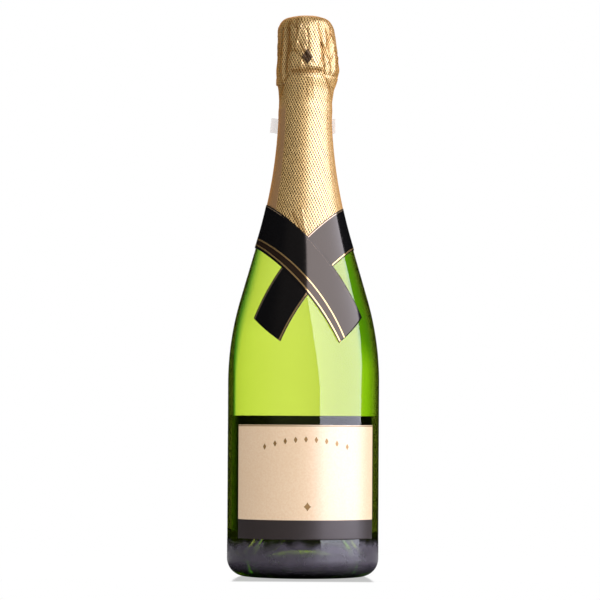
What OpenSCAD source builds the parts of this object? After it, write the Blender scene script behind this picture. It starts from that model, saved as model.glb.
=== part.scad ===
// Sealed bottle of sparkling wine: green glass with a punt, wine, mushroom cork, wire hood with its metal
// cap, embossed foil, crossed neck band and two body labels. Millimetres, +Z up, origin at the middle of
// the standing ring, front of the bottle towards -Y.

/* [Glass body] */
// Outside diameter of the cylindrical side
body_d = 88; // [86:0.5:90]
// Height of the glass, from the standing ring to the top of the lip
glass_h = 305; // [302:0.5:310]
// Radius of the convex turn at the top of the side
shoulder_r = 173; // [160:1:184]
// Lean of the straight flank, from upright
flank_angle = 16.3; // [15.8:0.1:17.2]
// Radius of the hollow sweep from the flank into the neck
sweep_r = 286; // [260:2:300]
// Taper of the neck on each side
neck_taper = 1.4; // [1:0.1:1.8]
// Length of evenly tapered neck below its waist
neck_run = 5.8; // [2:0.2:12]
// Wall of the cylindrical side
body_wall = 5.4; // [4.6:0.1:6]
// Wall of the neck
neck_wall = 4.9; // [4.4:0.1:5.2]
// Radius of the heel
heel_r = 10.5; // [8:0.5:12]
// Width of the flat standing ring
stand_w = 3.5; // [2.5:0.5:5]
// Depth of the punt, the hollow under the bottle
punt_h = 34; // [28:1:38]
// Thickness of the glass between the punt and the wine
floor_t = 10; // [8:0.5:12]
// Height of the wine, measured down from the lip
ullage_h = 78; // [70:1:84]

/* [Neck finish] */
// Diameter of the neck just below the ring
neck_d = 30; // [29.4:0.2:30.6]
// Diameter of the ring that the wire hood grips
ring_d = 32.4; // [32:0.1:33]
// Height of the ring
ring_h = 9.5; // [8.5:0.5:10.5]
// Distance from the top of the lip down to the ring
ring_drop = 8; // [7.5:0.5:9]
// Diameter of the lip
lip_d = 28.6; // [28:0.1:29.2]
// Height of the lip
lip_h = 5; // [4:0.5:5.5]
// Diameter of the mouth
bore_d = 17.5; // [17:0.1:18]

/* [Cork] */
// Length of cork inside the neck
cork_in = 24; // [20:1:27]
// Height of the mushroom head above the lip
cork_head_h = 18; // [16.5:0.5:19]
// Diameter of the mushroom head
cork_head_d = 28.8; // [28:0.1:30.4]
// Thickness of each natural cork disc at the foot
cork_disc_t = 5.5; // [4:0.5:6.5]

/* [Wire hood] */
// Diameter of the wire twisted in pairs for the legs
leg_wire_d = 0.7; // [0.6:0.05:0.75]
// Diameter of the belt wire
belt_wire_d = 0.9; // [0.8:0.05:1]
// Length of one full twist of a leg
twist_pitch = 5; // [4:0.5:8]
// Thickness of the metal cap on the cork
crown_t = 0.3; // [0.2:0.05:0.4]
// Height of the turned-down rim of the metal cap
crown_rim_h = 6.4; // [6:0.1:7.5]
// Radius of the metal cap's rounded edge
crown_round = 5; // [4:0.1:5.4]
// Rise of the metal cap's domed top
crown_rise = 1.5; // [0.8:0.1:2]
// Width of the twisting eye
eye_w = 8; // [6.5:0.5:9]
// Height of the twisting eye
eye_h = 9; // [8:0.5:10]
// Turn of the four legs about the bottle, from the diagonals
leg_turn = -4; // [-10:1:10]

/* [Foil] */
// Thickness of the foil with its folds
foil_t = 0.2; // [0.15:0.01:0.25]
// Length of foil tucked under the neck band
foil_tuck = 22.4; // [20:0.2:23.4]
// Extra looseness of the cap foil between the legs
cap_slack = 0.35; // [0.3:0.05:0.6]
// Width of the clear tear tape
tape_w = 8.6; // [7:0.2:10]
// Thickness of the clear tear tape
tape_t = 0.2; // [0.15:0.01:0.3]
// Distance of the tape's lower edge below the neck's waist
tape_drop = 18; // [14:1:20]

/* [Neck band] */
// Distance from the neck's waist down to the band's top edge at the sides and back
band_drop = 61; // [58:0.5:64]
// Width of the band
band_w = 24.6; // [22.5:0.2:25]
// Thickness of the band paper
band_t = 0.15; // [0.1:0.01:0.2]
// Slope at which the outer tail leaves the side
over_slope = 34.4; // [33:0.2:36]
// Bend radius of the outer tail
over_bend = 153; // [148:1:158]
// Slope at which the inner tail leaves the side
under_slope = 36.2; // [35:0.2:37.5]
// Bend radius of the inner tail
under_bend = 142; // [138:1:148]
// Distance from the band's top edge down to the lowest corners of both tails
tail_drop = 80.3; // [76:0.2:84]
// Angle of the cut across the outer tail
over_cut = 46; // [40:1:50]
// Angle of the cut across the inner tail
under_cut = 42; // [38:1:48]
// Overlap of the two halves of the band behind the neck
band_lap = 20; // [12:1:30]

/* [Labels] */
// Thickness of the label paper
label_t = 0.12; // [0.08:0.01:0.16]
// Height of the front label's lower edge
front_z = 22.6; // [20:0.2:26]
// Height of the front label
front_h = 65.2; // [60:0.2:70]
// Width of the front label round the bottle
front_w = 94.5; // [88:0.5:100]
// Turn of the front label about the bottle
front_turn = 3.5; // [-4:0.5:4]
// Height of the back label's lower edge
back_z = 25; // [21:0.5:28]
// Height of the back label
back_h = 68.2; // [60:0.2:72]
// Width of the back label round the bottle
back_w = 72; // [60:1:80]

/* [Hidden] */
$fn = 96;

glue_gap = 0.05;      // between a label and the glass
foil_gap = 0.08;      // between the foil and what it covers
cork_gap = 0.05;      // running fit of the cork in the mouth
wire_gap = 0.06;      // between wires, and between a wire and what it rests on
wine_gap = 0.05;      // between the wine and the glass
seat_gap = 0.2;       // between the metal cap and the cork head

body_r = body_d / 2;
neck_r = neck_d / 2;
ring_r = ring_d / 2;
lip_r = lip_d / 2;
bore_r = bore_d / 2;
ring_top_z = glass_h - ring_drop;
ring_foot_z = ring_top_z - ring_h;
waist_drop = 12;
waist_z = ring_foot_z - waist_drop;               // where neck_d is measured
sweep_end_z = waist_z - neck_run;
sweep_z = sweep_end_z - sweep_r * (sin(flank_angle) - sin(neck_taper));
shoulder_in = shoulder_r * (1 - cos(flank_angle));
flank_r = neck_r + neck_run * tan(neck_taper) + sweep_r * (cos(neck_taper) - cos(flank_angle));
// length of the straight flank that brings the side in to the hollow sweep
flank_len = (body_r - shoulder_in - flank_r) / sin(flank_angle);
shoulder_end_z = sweep_z - flank_len * cos(flank_angle);
side_h = shoulder_end_z - shoulder_r * sin(flank_angle);
arc_steps = 8;

// [z, radius] of the outside, from the straight side to the foot of the ring
shoulder_table = [for (i = [0:arc_steps]) let (a = flank_angle * i / arc_steps)
    [side_h + shoulder_r * sin(a), body_r - shoulder_r * (1 - cos(a))]];
sweep_table = [for (i = [0:arc_steps]) let (a = flank_angle + (neck_taper - flank_angle) * i / arc_steps)
    [sweep_z + sweep_r * (sin(flank_angle) - sin(a)), flank_r - sweep_r * (cos(a) - cos(flank_angle))]];
neck_top_r = neck_r - waist_drop * tan(neck_taper);
outside_table = concat([[heel_r, body_r]], shoulder_table, sweep_table, [[ring_foot_z, neck_top_r]]);
function outside_r(z) = lookup(z, outside_table);
function heights_between(low, high) =
    concat([low], [for (p = outside_table) if (p[0] > low + 0.5 && p[0] < high - 0.5) p[0]], [high]);

// Glass

stand_r = body_r - heel_r;
punt_r = stand_r - stand_w;
punt_steps = 9;
heel_steps = 9;
punt_shape = 1.5;     // 1 is a cone, higher is rounder
function punt_z(r, span, rise) = rise * pow(1 - pow(r / span, 2), punt_shape);
wine_r = body_r - body_wall;
wine_heel_r = heel_r - 1;
wine_stand_r = wine_r - wine_heel_r;
wine_top_z = glass_h - ullage_h;
bore_foot_z = glass_h - cork_in - 2;              // below this the bore opens out to the neck's wall
bore_flare = 8;
// wall thickness grows evenly from the shoulder to the neck
function wall(z) = lookup(z, [[side_h, body_wall], [sweep_end_z, neck_wall]]);
function inside_r(z) = outside_r(z) - wall(z);
lip_round = 1.2;
mouth_round = 0.8;
ring_bevel = 2.4;
ring_round = 1.4;
groove_r = lip_r - 1.1;

function arc(cx, cz, r, from, to, steps) =
    [for (i = [0:steps]) let (a = from + (to - from) * i / steps) [cx + r * cos(a), cz + r * sin(a)]];

glass_outline = concat(
    [for (i = [0:punt_steps - 1]) let (r = punt_r * i / punt_steps) [r, punt_z(r, punt_r, punt_h)]],
    [[punt_r, 0]],
    arc(stand_r, heel_r, heel_r, -90, 0, heel_steps),
    [for (p = concat(shoulder_table, sweep_table)) [p[1], p[0]]],
    [[neck_top_r, ring_foot_z], [ring_r, ring_foot_z + ring_bevel]],
    arc(ring_r - ring_round, ring_top_z - ring_round, ring_round, 0, 80, 4),
    [[groove_r, ring_top_z + 0.5], [groove_r, glass_h - lip_h]],
    [[lip_r, glass_h - lip_h + 0.8]],
    arc(lip_r - lip_round, glass_h - lip_round, lip_round, 0, 90, 4),
    arc(bore_r + mouth_round, glass_h - mouth_round, mouth_round, 90, 180, 3),
    [[bore_r, bore_foot_z]]
);
inside_heights = [for (i = [len(outside_table) - 2:-1:1]) if (outside_table[i][0] < bore_foot_z - bore_flare - 0.5)
    outside_table[i][0]];

// [radius, z] of the wine space from the top of the neck to the middle of the floor, drawn in by gap
function wine_space(gap) = concat(
    [for (z = inside_heights) [inside_r(z) - gap, z]],
    [for (p = arc(wine_stand_r, floor_t + wine_heel_r, wine_heel_r - gap, 0, -90, heel_steps)) p],
    [for (i = [punt_steps - 1:-1:0]) let (r = wine_stand_r * i / punt_steps)
        [r, floor_t + gap + punt_z(r, wine_stand_r, punt_h)]]
);

module bottle_glass() {
    color([0.35, 0.62, 0.08, 0.6])
        rotate_extrude()
            polygon(concat(glass_outline,
                [[inside_r(bore_foot_z - bore_flare), bore_foot_z - bore_flare]],
                wine_space(0)));
}

module wine() {
    space = wine_space(wine_gap);
    below = [for (p = space) if (p[1] < wine_top_z - 0.5) p];
    color([0.86, 0.83, 0.4, 0.5])
        rotate_extrude()
            polygon(concat([[0, wine_top_z], [inside_r(wine_top_z) - wine_gap, wine_top_z]], below));
}

// Cork

cork_r = bore_r - cork_gap;
cork_head_r = cork_head_d / 2;
cork_top_z = glass_h + cork_head_h;
cork_foot_z = glass_h - cork_in;
disc_chamfer = 0.8;
head_foot_r = lip_r - 2.6;
head_round = crown_round - crown_t - seat_gap;

module cork_body() {
    foot_z = cork_foot_z + 2 * cork_disc_t;
    color([0.80, 0.62, 0.42])
        rotate_extrude()
            polygon(concat(
                [[0, foot_z], [cork_r, foot_z], [cork_r, glass_h + 0.1], [head_foot_r, glass_h + 0.5]],
                arc(head_foot_r, glass_h + 3.2, cork_head_r - head_foot_r - 0.5, -60, 0, 4),
                [[cork_head_r, glass_h + cork_head_h * 0.55]],
                arc(cork_head_r - head_round, cork_top_z - head_round, head_round, 0, 84, 6),
                [[0, cork_top_z]]));
}

module cork_disc(level) {
    foot_z = cork_foot_z + level * cork_disc_t;
    chamfer = level == 0 ? disc_chamfer : 0;
    color([0.86, 0.72, 0.52])
        rotate_extrude()
            polygon([[0, foot_z], [cork_r - chamfer, foot_z], [cork_r, foot_z + chamfer],
                [cork_r, foot_z + cork_disc_t], [0, foot_z + cork_disc_t]]);
}

// Wire hood

leg_wire_r = leg_wire_d / 2;
belt_wire_r = belt_wire_d / 2;
pair_r = 2 * leg_wire_r + wire_gap / 2;           // half the width of a twisted pair
crown_in_r = cork_head_r + seat_gap;
crown_out_r = crown_in_r + crown_t;
crown_edge_z = cork_top_z + seat_gap + crown_t - crown_rim_h;
crown_top_z = cork_top_z + seat_gap + crown_t + crown_rise;
crown_wire_r = crown_out_r + wire_gap + leg_wire_r;
crown_wire_z = crown_edge_z + leg_wire_r;
leg_loop_r = belt_wire_r + wire_gap + leg_wire_r; // the small eyelet that a leg makes round the belt
belt_seat = 0.4;                                  // how far the eyelets stay below the ring
belt_z = ring_foot_z - leg_loop_r - leg_wire_r - belt_seat;
belt_r = outside_r(belt_z) + wire_gap + leg_loop_r + leg_wire_r;
leg_ring_r = ring_r + wire_gap + pair_r;
leg_foot_z = belt_z + leg_loop_r;                 // the legs start in their eyelets
leg_top_z = crown_wire_z;                         // and end in the ring under the cap's rim
leg_azimuths = [for (i = [0:3]) 45 + 90 * i + leg_turn];

// [z, radius] of the middle of a leg
leg_table = [
    [leg_foot_z, belt_r + leg_wire_r / 2],
    [ring_foot_z + ring_bevel, leg_ring_r],
    [ring_top_z, leg_ring_r],
    [leg_top_z, crown_out_r + wire_gap + pair_r]
];
function leg_r(z) = lookup(z, leg_table);

function unit(v) = v / norm(v);

// Closed tube of radius r along points; across is a direction that is never along the tube
module tube(points, across, r, sides, closed = false) {
    n = len(points);
    last = n - 1;
    function tangent(i) = closed
        ? unit(points[(i + 1) % n] - points[(i + last) % n])
        : unit(points[min(i + 1, last)] - points[max(i - 1, 0)]);
    rings = [for (i = [0:last]) let (t = tangent(i), w = across[i], u = unit(w - (w * t) * t), v = cross(t, u))
        for (k = [0:sides - 1]) points[i] + r * (cos(360 * k / sides) * u + sin(360 * k / sides) * v)];
    spans = closed ? n : last;
    skin = [for (i = [0:spans - 1]) for (k = [0:sides - 1])
        let (a = i * sides + k, b = i * sides + (k + 1) % sides, c = (i + 1) % n * sides)
        each [[a, b, c + (k + 1) % sides], [a, c + (k + 1) % sides, c + k]]];
    ends = closed ? [] : concat(
        [for (k = [1:sides - 2]) [0, k + 1, k]],
        [for (k = [1:sides - 2]) [last * sides, last * sides + k, last * sides + k + 1]]);
    polyhedron(points = rings, faces = [for (f = concat(skin, ends)) [f[0], f[2], f[1]]]);
}

leg_rings = 30;
module leg_strand(phase) {
    strand_r = leg_wire_r + wire_gap / 2;
    rise = leg_top_z - leg_foot_z;
    points = [for (i = [0:leg_rings]) let (z = leg_foot_z + rise * i / leg_rings, a = phase + 360 * (z - leg_foot_z) / twist_pitch)
        [leg_r(z) + strand_r * cos(a), strand_r * sin(a), z]];
    tube(points, [for (p = points) [1, 0, 0]], leg_wire_r, 6);
}

module hood_frame() {
    color("silver") {
        translate([0, 0, crown_wire_z]) rotate_extrude() translate([crown_wire_r, 0]) circle(r = leg_wire_r, $fn = 24);
        for (a = leg_azimuths) rotate([0, 0, a]) {
            for (phase = [0, 180]) leg_strand(phase);
            translate([belt_r, 0, belt_z]) rotate([90, 0, 0])
                rotate_extrude() translate([leg_loop_r, 0]) circle(r = leg_wire_r, $fn = 24);
        }
    }
}

// The belt runs round the neck; its two ends twist together on the right and open into the eye, folded up
stem_turns = 1.5;
stem_h = 4;
strand_off = belt_wire_r + wire_gap / 2;
stem_z = belt_z + 2 * strand_off + leg_wire_r + wire_gap;
stem_r = ring_r + wire_gap + strand_off + belt_wire_r;
eye_lean = 0.07;                                  // outward lean of stem and eye for each mm of height
belt_opening = 9;                                 // angle to each side at which the wire leaves the belt
belt_steps = 44;
stem_steps = 10;
eye_steps = 14;
eye_mouth = 30;
function on_stem(s, phase) =
    let (a = phase + 360 * stem_turns * s, z = stem_z + stem_h * s)
    [stem_r + eye_lean * (z - stem_z) + strand_off * cos(a), strand_off * sin(a), z];
eye_throat = 0.6;                                 // from the top of the stem to the eye's curve
eye_z = stem_z + stem_h + eye_h / 2 + eye_throat;
function on_eye(a) = let (z = eye_z + eye_h / 2 * sin(a), r = stem_r + eye_lean * (z - stem_z),
        turn = eye_w / 2 * cos(a) / r * 180 / PI)
    [r * cos(turn), r * sin(turn), z];
belt_path = concat(
    [for (i = [0:belt_steps]) let (a = belt_opening + (360 - 2 * belt_opening) * i / belt_steps)
        [belt_r * cos(a), belt_r * sin(a), belt_z]],
    [[(belt_r + stem_r) / 2, -belt_r * sin(belt_opening / 2), belt_z + 0.5]],
    [for (i = [0:stem_steps]) on_stem(i / stem_steps, -90)],
    [for (i = [0:eye_steps]) on_eye(eye_mouth - 90 + (360 - 2 * eye_mouth) * i / eye_steps)],
    [for (i = [stem_steps:-1:0]) on_stem(i / stem_steps, 90)],
    [[(belt_r + stem_r) / 2, belt_r * sin(belt_opening / 2), belt_z + 0.5]]
);
module hood_belt() {
    outwards = [for (i = [0:len(belt_path) - 1]) i <= belt_steps
        ? [belt_path[i][0], belt_path[i][1], 0] : [1, 0, 0]];
    color("silver") tube(belt_path, outwards, belt_wire_r, 6, closed = true);
}

module hood_cap() {
    dome_r = (pow(crown_out_r - crown_round, 2) + pow(crown_rise, 2)) / (2 * crown_rise);
    function shell(off) = concat(
        [for (i = [0:6]) let (r = (crown_out_r - crown_round) * i / 6)
            [r, crown_top_z - off - (dome_r - sqrt(dome_r * dome_r - r * r))]],
        arc(crown_out_r - crown_round, crown_top_z - crown_rise - crown_round, crown_round - off, 75, 0, 5));
    outer = shell(0);
    inner = shell(crown_t);
    color([0.83, 0.68, 0.32])
        rotate_extrude()
            polygon(concat(outer, [[crown_out_r, crown_edge_z], [crown_in_r, crown_edge_z]],
                [for (i = [len(inner) - 1:-1:0]) inner[i]]));
}

// Foil

band_top_z = waist_z - band_drop;
band_foot_z = band_top_z - band_w;
tail_z = band_top_z - tail_drop;
foil_foot_z = band_top_z - foil_tuck;
hem_rise = 0.6;                                   // how far above the ring's lower bevel the foils meet
foil_hem_z = ring_foot_z + ring_bevel + hem_rise; // the cap foil ends on the ring, and the skirt foil starts
hem_gap = 0.3;
belt_reach = 3.2;                                 // from the belt down to where the foil begins to widen
belt_flare = 0.5;
belt_shelf = 0.8;                                 // from the belt up to where the foil is widest
ring_shelf = 0.4;                                 // and from the ring's foot up to its full width there
lip_drape = 3;                                    // from the lip up to where the foil meets the hood cap
foil_top_z = crown_top_z + foil_gap + foil_t;
foil_sides = 60;
eye_half = (eye_w / 2 + belt_wire_d) / ring_r * 180 / PI;
swell_fade = 18;                                  // angle over which the swelling over the eye fades out
function near_leg(a) = pow((1 + cos(4 * (a - leg_azimuths[0]))) / 2, 2);
function from_eye(a) = let (d = abs(a) % 360) min(d, 360 - d);
function near_eye(a) = let (d = (from_eye(a) - eye_half) / swell_fade) (1 + cos(180 * min(max(d, 0), 1))) / 2;
over_eye_r = stem_r + eye_lean * (eye_z + eye_h / 2 - stem_z) + belt_wire_r + foil_gap + foil_t;
over_stem_r = stem_r + eye_lean * stem_h + strand_off + belt_wire_r + foil_gap + foil_t;

// radius of the foil's outside between the legs, over a leg and over the eye, at some heights
skirt_levels = concat(
    [for (z = heights_between(foil_foot_z, waist_z))
        let (r = outside_r(z) + foil_gap + foil_t) [z, r, r, r]],
    let (low = belt_z - belt_reach, r = outside_r(low) + foil_gap + foil_t + belt_flare)
        [[low, r, r, r]],
    let (r = belt_r + belt_wire_r + foil_gap + foil_t, leg = belt_r + leg_loop_r + leg_wire_r + foil_gap + foil_t)
        [[belt_z - leg_loop_r, r, leg, r], [belt_z + belt_shelf, r, leg, over_stem_r]],
    let (r = ring_r + foil_gap + foil_t + cap_slack, leg = leg_ring_r + pair_r + foil_gap + foil_t)
        [[ring_foot_z + ring_shelf, r, leg, over_stem_r], [foil_hem_z - hem_gap, r, leg, over_stem_r]]
);
hem_mid_r = ring_r + foil_gap + foil_t + cap_slack;
hem_leg_r = leg_ring_r + pair_r + foil_gap + foil_t;
crown_foil_r = crown_wire_r + leg_wire_r + foil_gap + foil_t;
crown_leg_r = crown_out_r + wire_gap + 2 * pair_r + foil_gap + foil_t;
crown_mid_r = crown_out_r - crown_round;
crown_mid_z = crown_top_z - crown_rise - crown_round;
foil_round = crown_round + foil_gap + foil_t;
edge_angles = [12, 26, 40, 54, 68, 82];           // steps round the edge of the cap foil's top
cap_levels = concat(
    [
        [foil_hem_z, hem_mid_r, hem_leg_r, over_eye_r],
        [ring_top_z - ring_round, hem_mid_r, hem_leg_r, over_eye_r],
        [eye_z + eye_h / 2 + belt_wire_r, (hem_mid_r + crown_foil_r) / 2, hem_leg_r, over_eye_r],
        [glass_h + lip_drape, crown_foil_r, (hem_leg_r + crown_leg_r) / 2, (over_eye_r + crown_foil_r) / 2],
        [crown_edge_z, crown_foil_r, crown_leg_r, crown_foil_r],
        [crown_wire_z + leg_wire_r + foil_gap, crown_foil_r, crown_leg_r, crown_foil_r]
    ],
    [for (a = edge_angles) let (r = crown_mid_r + foil_round * cos(a)) [crown_mid_z + foil_round * sin(a), r, r, r]],
    [for (part = [0.75, 0.5, 0.25]) let (r = crown_mid_r * part) [foil_top_z - crown_rise * part * part, r, r, r]]
);
function foil_ring(level, off, drop) = [for (k = [0:foil_sides - 1])
    let (a = leg_azimuths[0] + 360 * k / foil_sides, base = level[1] + (level[2] - level[1]) * near_leg(a),
        r = base + (max(level[3], base) - base) * near_eye(a) - off)
    [r * cos(a), r * sin(a), level[0] - drop]];
function band_faces(first, second, flip) = [for (k = [0:foil_sides - 1])
    let (j = (k + 1) % foil_sides, a = first + k, b = first + j, c = second + j, d = second + k)
    each (flip ? [[a, c, b], [a, d, c]] : [[a, b, c], [a, c, d]])];

module foil_skirt() {
    n = len(skirt_levels);
    outer = [for (level = skirt_levels) each foil_ring(level, 0, 0)];
    inner = [for (level = skirt_levels) each foil_ring(level, foil_t, 0)];
    m = n * foil_sides;
    faces = concat(
        [for (i = [0:n - 2]) each band_faces(i * foil_sides, (i + 1) * foil_sides, true)],
        [for (i = [0:n - 2]) each band_faces(m + i * foil_sides, m + (i + 1) * foil_sides, false)],
        band_faces(0, m, false),
        band_faces((n - 1) * foil_sides, m + (n - 1) * foil_sides, true));
    color([0.83, 0.70, 0.36]) polyhedron(points = concat(outer, inner), faces = faces);
}

module foil_cap() {
    n = len(cap_levels);
    outer = [for (level = cap_levels) each foil_ring(level, 0, 0)];
    inner = [for (i = [0:n - 1]) let (a = i < 6 ? 0 : i < n - 3 ? edge_angles[i - 6] : 90)
        each foil_ring(cap_levels[i], foil_t * cos(a), foil_t * sin(a))];
    m = n * foil_sides;
    top = (n - 1) * foil_sides;
    apexes = [[0, 0, foil_top_z], [0, 0, foil_top_z - foil_t]];
    faces = concat(
        [for (i = [0:n - 2]) each band_faces(i * foil_sides, (i + 1) * foil_sides, true)],
        [for (i = [0:n - 2]) each band_faces(m + i * foil_sides, m + (i + 1) * foil_sides, false)],
        band_faces(0, m, false),
        [for (k = [0:foil_sides - 1]) let (j = (k + 1) % foil_sides) [top + k, 2 * m, top + j]],
        [for (k = [0:foil_sides - 1]) let (j = (k + 1) % foil_sides) [m + top + k, m + top + j, 2 * m + 1]]);
    color([0.85, 0.72, 0.38]) polyhedron(points = concat(outer, inner, apexes), faces = faces);
}

// Clear tape stuck over the foil behind the neck, its ends standing off to both sides
tape_low_z = waist_z - tape_drop;
tape_wrap = 62;                                   // angle held to the neck on each side of the back
tape_left = 10.6;
tape_right = 8.6;
module tear_tape() {
    seat_r = outside_r(tape_low_z) + foil_gap + foil_t + glue_gap;
    color([0.93, 0.86, 0.82, 0.6]) {
        rotate([0, 0, 90 - tape_wrap])
            rotate_extrude(angle = 2 * tape_wrap) translate([seat_r, tape_low_z]) square([tape_t, tape_w]);
        rotate([0, 0, 90 + tape_wrap]) translate([seat_r, 0, tape_low_z]) rotate([90, 0, 90]) linear_extrude(tape_t)
            polygon([[0, 0], [tape_left, 0], [tape_left - 1.6, tape_w], [0, tape_w]]);
        rotate([0, 0, 90 - tape_wrap]) translate([seat_r, -tape_right, tape_low_z]) cube([tape_t, tape_right, tape_w]);
    }
}

// Neck band: each half covers one side and the back, and its tail crosses the front

under_off = foil_gap + foil_t + glue_gap;
over_off = under_off + band_t + glue_gap;

// Paper that follows the glass between two heights, standing off it by off
module wrap(low, high, off, t) {
    heights = heights_between(low, high);
    rotate_extrude() polygon(concat(
        [for (z = heights) [outside_r(z) + off, z]],
        [for (i = [len(heights) - 1:-1:0]) [outside_r(heights[i]) + off + t, heights[i]]]));
}

// Disc under the arc that starts at the bottle's left side at height z, falls at slope and bends down
module under_arc(z, slope, bend) {
    translate([-outside_r(z) - bend * sin(slope), z - bend * cos(slope)]) circle(r = bend, $fn = 180);
}

// Front view of a tail that starts on the left side and ends at the right
module tail_shape(slope, bend, cut) {
    low_x = -outside_r(band_foot_z) - bend * sin(slope)
        + sqrt(bend * bend - pow(tail_z - band_foot_z + bend * cos(slope), 2));
    intersection() {
        difference() {
            under_arc(band_top_z, slope, bend);
            under_arc(band_foot_z, slope, bend);
        }
        translate([low_x, tail_z]) rotate(cut) translate([-3 * body_d, 0]) square([4 * body_d, 3 * body_d]);
        translate([-body_d, 0]) square([2 * body_d, glass_h]);
    }
}

module band_half(slope, bend, cut, off) {
    intersection() {
        wrap(tail_z - band_w / 4, band_top_z, off, band_t);
        union() {
            rotate([90, 0, 0]) linear_extrude(body_d) tail_shape(slope, bend, cut);
            rotate([0, 0, 90 - band_lap / 2])
                rotate_extrude(angle = 90.3 + band_lap / 2)
                    translate([0, band_foot_z]) square([body_d, band_w]);
        }
    }
}

module band_over() {
    color([0.16, 0.14, 0.13]) band_half(over_slope, over_bend, over_cut, over_off);
}

module band_under() {
    color([0.08, 0.08, 0.08]) mirror([1, 0, 0]) band_half(under_slope, under_bend, under_cut, under_off);
}

// Labels

// Paper on the side of the bottle, centred at azimuth a
module side_label(a, low, height, width) {
    half = width / body_r * 90 / PI;
    rotate([0, 0, a - half]) rotate_extrude(angle = 2 * half)
        translate([body_r + glue_gap, low]) square([label_t, height]);
}

module front_label() {
    color([0.93, 0.82, 0.68]) side_label(270 + front_turn, front_z, front_h, front_w);
}

module back_label() {
    color([0.10, 0.10, 0.10]) side_label(90, back_z, back_h, back_w);
}

bottle_glass();
wine();
cork_body();
cork_disc(1);  // cork_disc_upper
cork_disc(0);  // cork_disc_lower
hood_cap();
hood_frame();
hood_belt();
foil_cap();
foil_skirt();
tear_tape();
band_under();
band_over();
front_label();
back_label();
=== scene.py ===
import math
import bpy
import numpy as np
from mathutils import Matrix, Vector


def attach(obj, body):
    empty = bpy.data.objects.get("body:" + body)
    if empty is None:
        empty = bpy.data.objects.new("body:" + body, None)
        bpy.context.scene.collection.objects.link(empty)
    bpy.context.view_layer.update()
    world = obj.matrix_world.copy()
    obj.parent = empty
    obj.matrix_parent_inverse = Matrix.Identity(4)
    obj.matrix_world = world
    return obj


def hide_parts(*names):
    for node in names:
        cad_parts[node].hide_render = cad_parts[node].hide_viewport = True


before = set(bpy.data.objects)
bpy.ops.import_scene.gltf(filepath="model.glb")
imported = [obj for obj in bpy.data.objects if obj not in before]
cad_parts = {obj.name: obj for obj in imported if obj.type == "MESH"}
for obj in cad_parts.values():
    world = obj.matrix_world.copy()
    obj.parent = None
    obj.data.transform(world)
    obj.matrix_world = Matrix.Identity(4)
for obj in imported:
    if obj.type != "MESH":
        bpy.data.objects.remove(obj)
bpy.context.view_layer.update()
scene = bpy.context.scene
scene.view_settings.view_transform = "Standard"

# Lengths are millimetres here and metres in the meshes. Azimuth is in degrees from the front of the
# bottle (-Y), positive towards +X. Materials measure in metres, as Blender does.
millimetre = 0.001


# Mesh helpers

# Quads of a grid of points stored row by row; closed joins the last column to the first
def gridFaces(rows, columns, closed):
    spans = columns if closed else columns - 1
    here = np.arange(rows - 1)[:, None] * columns
    above = here + columns
    j = np.arange(spans)[None, :]
    k = (j + 1) % columns
    return np.stack([here + j, here + k, above + k, above + j], axis=-1).reshape(-1, 4)


# Mesh from points in mm; uv and values hold one row for each point
def makeMesh(name, points, quads=None, triangles=None, uv=None, values=None):
    mesh = bpy.data.meshes.new(name)
    points = np.asarray(points, dtype=np.float64).reshape(-1, 3) * millimetre
    blocks = [block for block in (quads, triangles) if block is not None]
    corners = np.concatenate([block.ravel() for block in blocks]).astype(np.int32)
    sides = np.concatenate([np.full(len(block), block.shape[1]) for block in blocks]).astype(np.int32)
    starts = (np.cumsum(sides) - sides).astype(np.int32)
    mesh.vertices.add(len(points))
    mesh.vertices.foreach_set("co", points.astype(np.float32).ravel())
    mesh.loops.add(len(corners))
    mesh.loops.foreach_set("vertex_index", corners)
    mesh.polygons.add(len(sides))
    mesh.polygons.foreach_set("loop_start", starts)
    mesh.polygons.foreach_set("loop_total", sides)
    mesh.update(calc_edges=True)
    mesh.validate()
    mesh.polygons.foreach_set("use_smooth", np.full(len(mesh.polygons), True))
    if uv is not None:
        layer = mesh.uv_layers.new(name="map")
        layer.data.foreach_set("uv", np.asarray(uv, dtype=np.float32)[corners].ravel())
    for key, value in (values or {}).items():
        layer = mesh.attributes.new(key, "FLOAT", "POINT")
        layer.data.foreach_set("value", np.asarray(value, dtype=np.float32).ravel())
    mesh.update()
    return mesh


# Piece that rides on a body and stands for the CAD nodes named. The slot argument is not used.
def addPiece(name, body, slot, nodes, material, points, quads=None, **more):
    mesh = makeMesh(name, points, quads, **more)
    mesh.materials.append(material)
    piece = bpy.data.objects.new(name, mesh)
    scene.collection.objects.link(piece)
    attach(piece, body)
    if nodes:
        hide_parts(*nodes)


def onSurface(azimuth, z, r):
    turn = np.radians(azimuth)
    return np.stack([r * np.sin(turn), -r * np.cos(turn), z + 0 * turn], axis=-1)


# Closed surface turned from (r, z) points that start and end on the axis
def revolve(profile, segments):
    profile = np.asarray(profile, dtype=float)
    ring = profile[1:-1]
    azimuth = 360 * np.arange(segments)[None, :] / segments
    points = onSurface(azimuth, ring[:, 1:], ring[:, :1]).reshape(-1, 3)
    count = len(points)
    points = np.concatenate([points, [[0, 0, profile[0, 1]], [0, 0, profile[-1, 1]]]])
    j = np.arange(segments)
    k = (j + 1) % segments
    last = count - segments
    firstPole = np.stack([0 * j + count, k, j], -1)
    lastPole = np.stack([0 * j + count + 1, last + j, last + k], -1)
    return points, gridFaces(len(ring), segments, True), np.concatenate([firstPole, lastPole])


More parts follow.
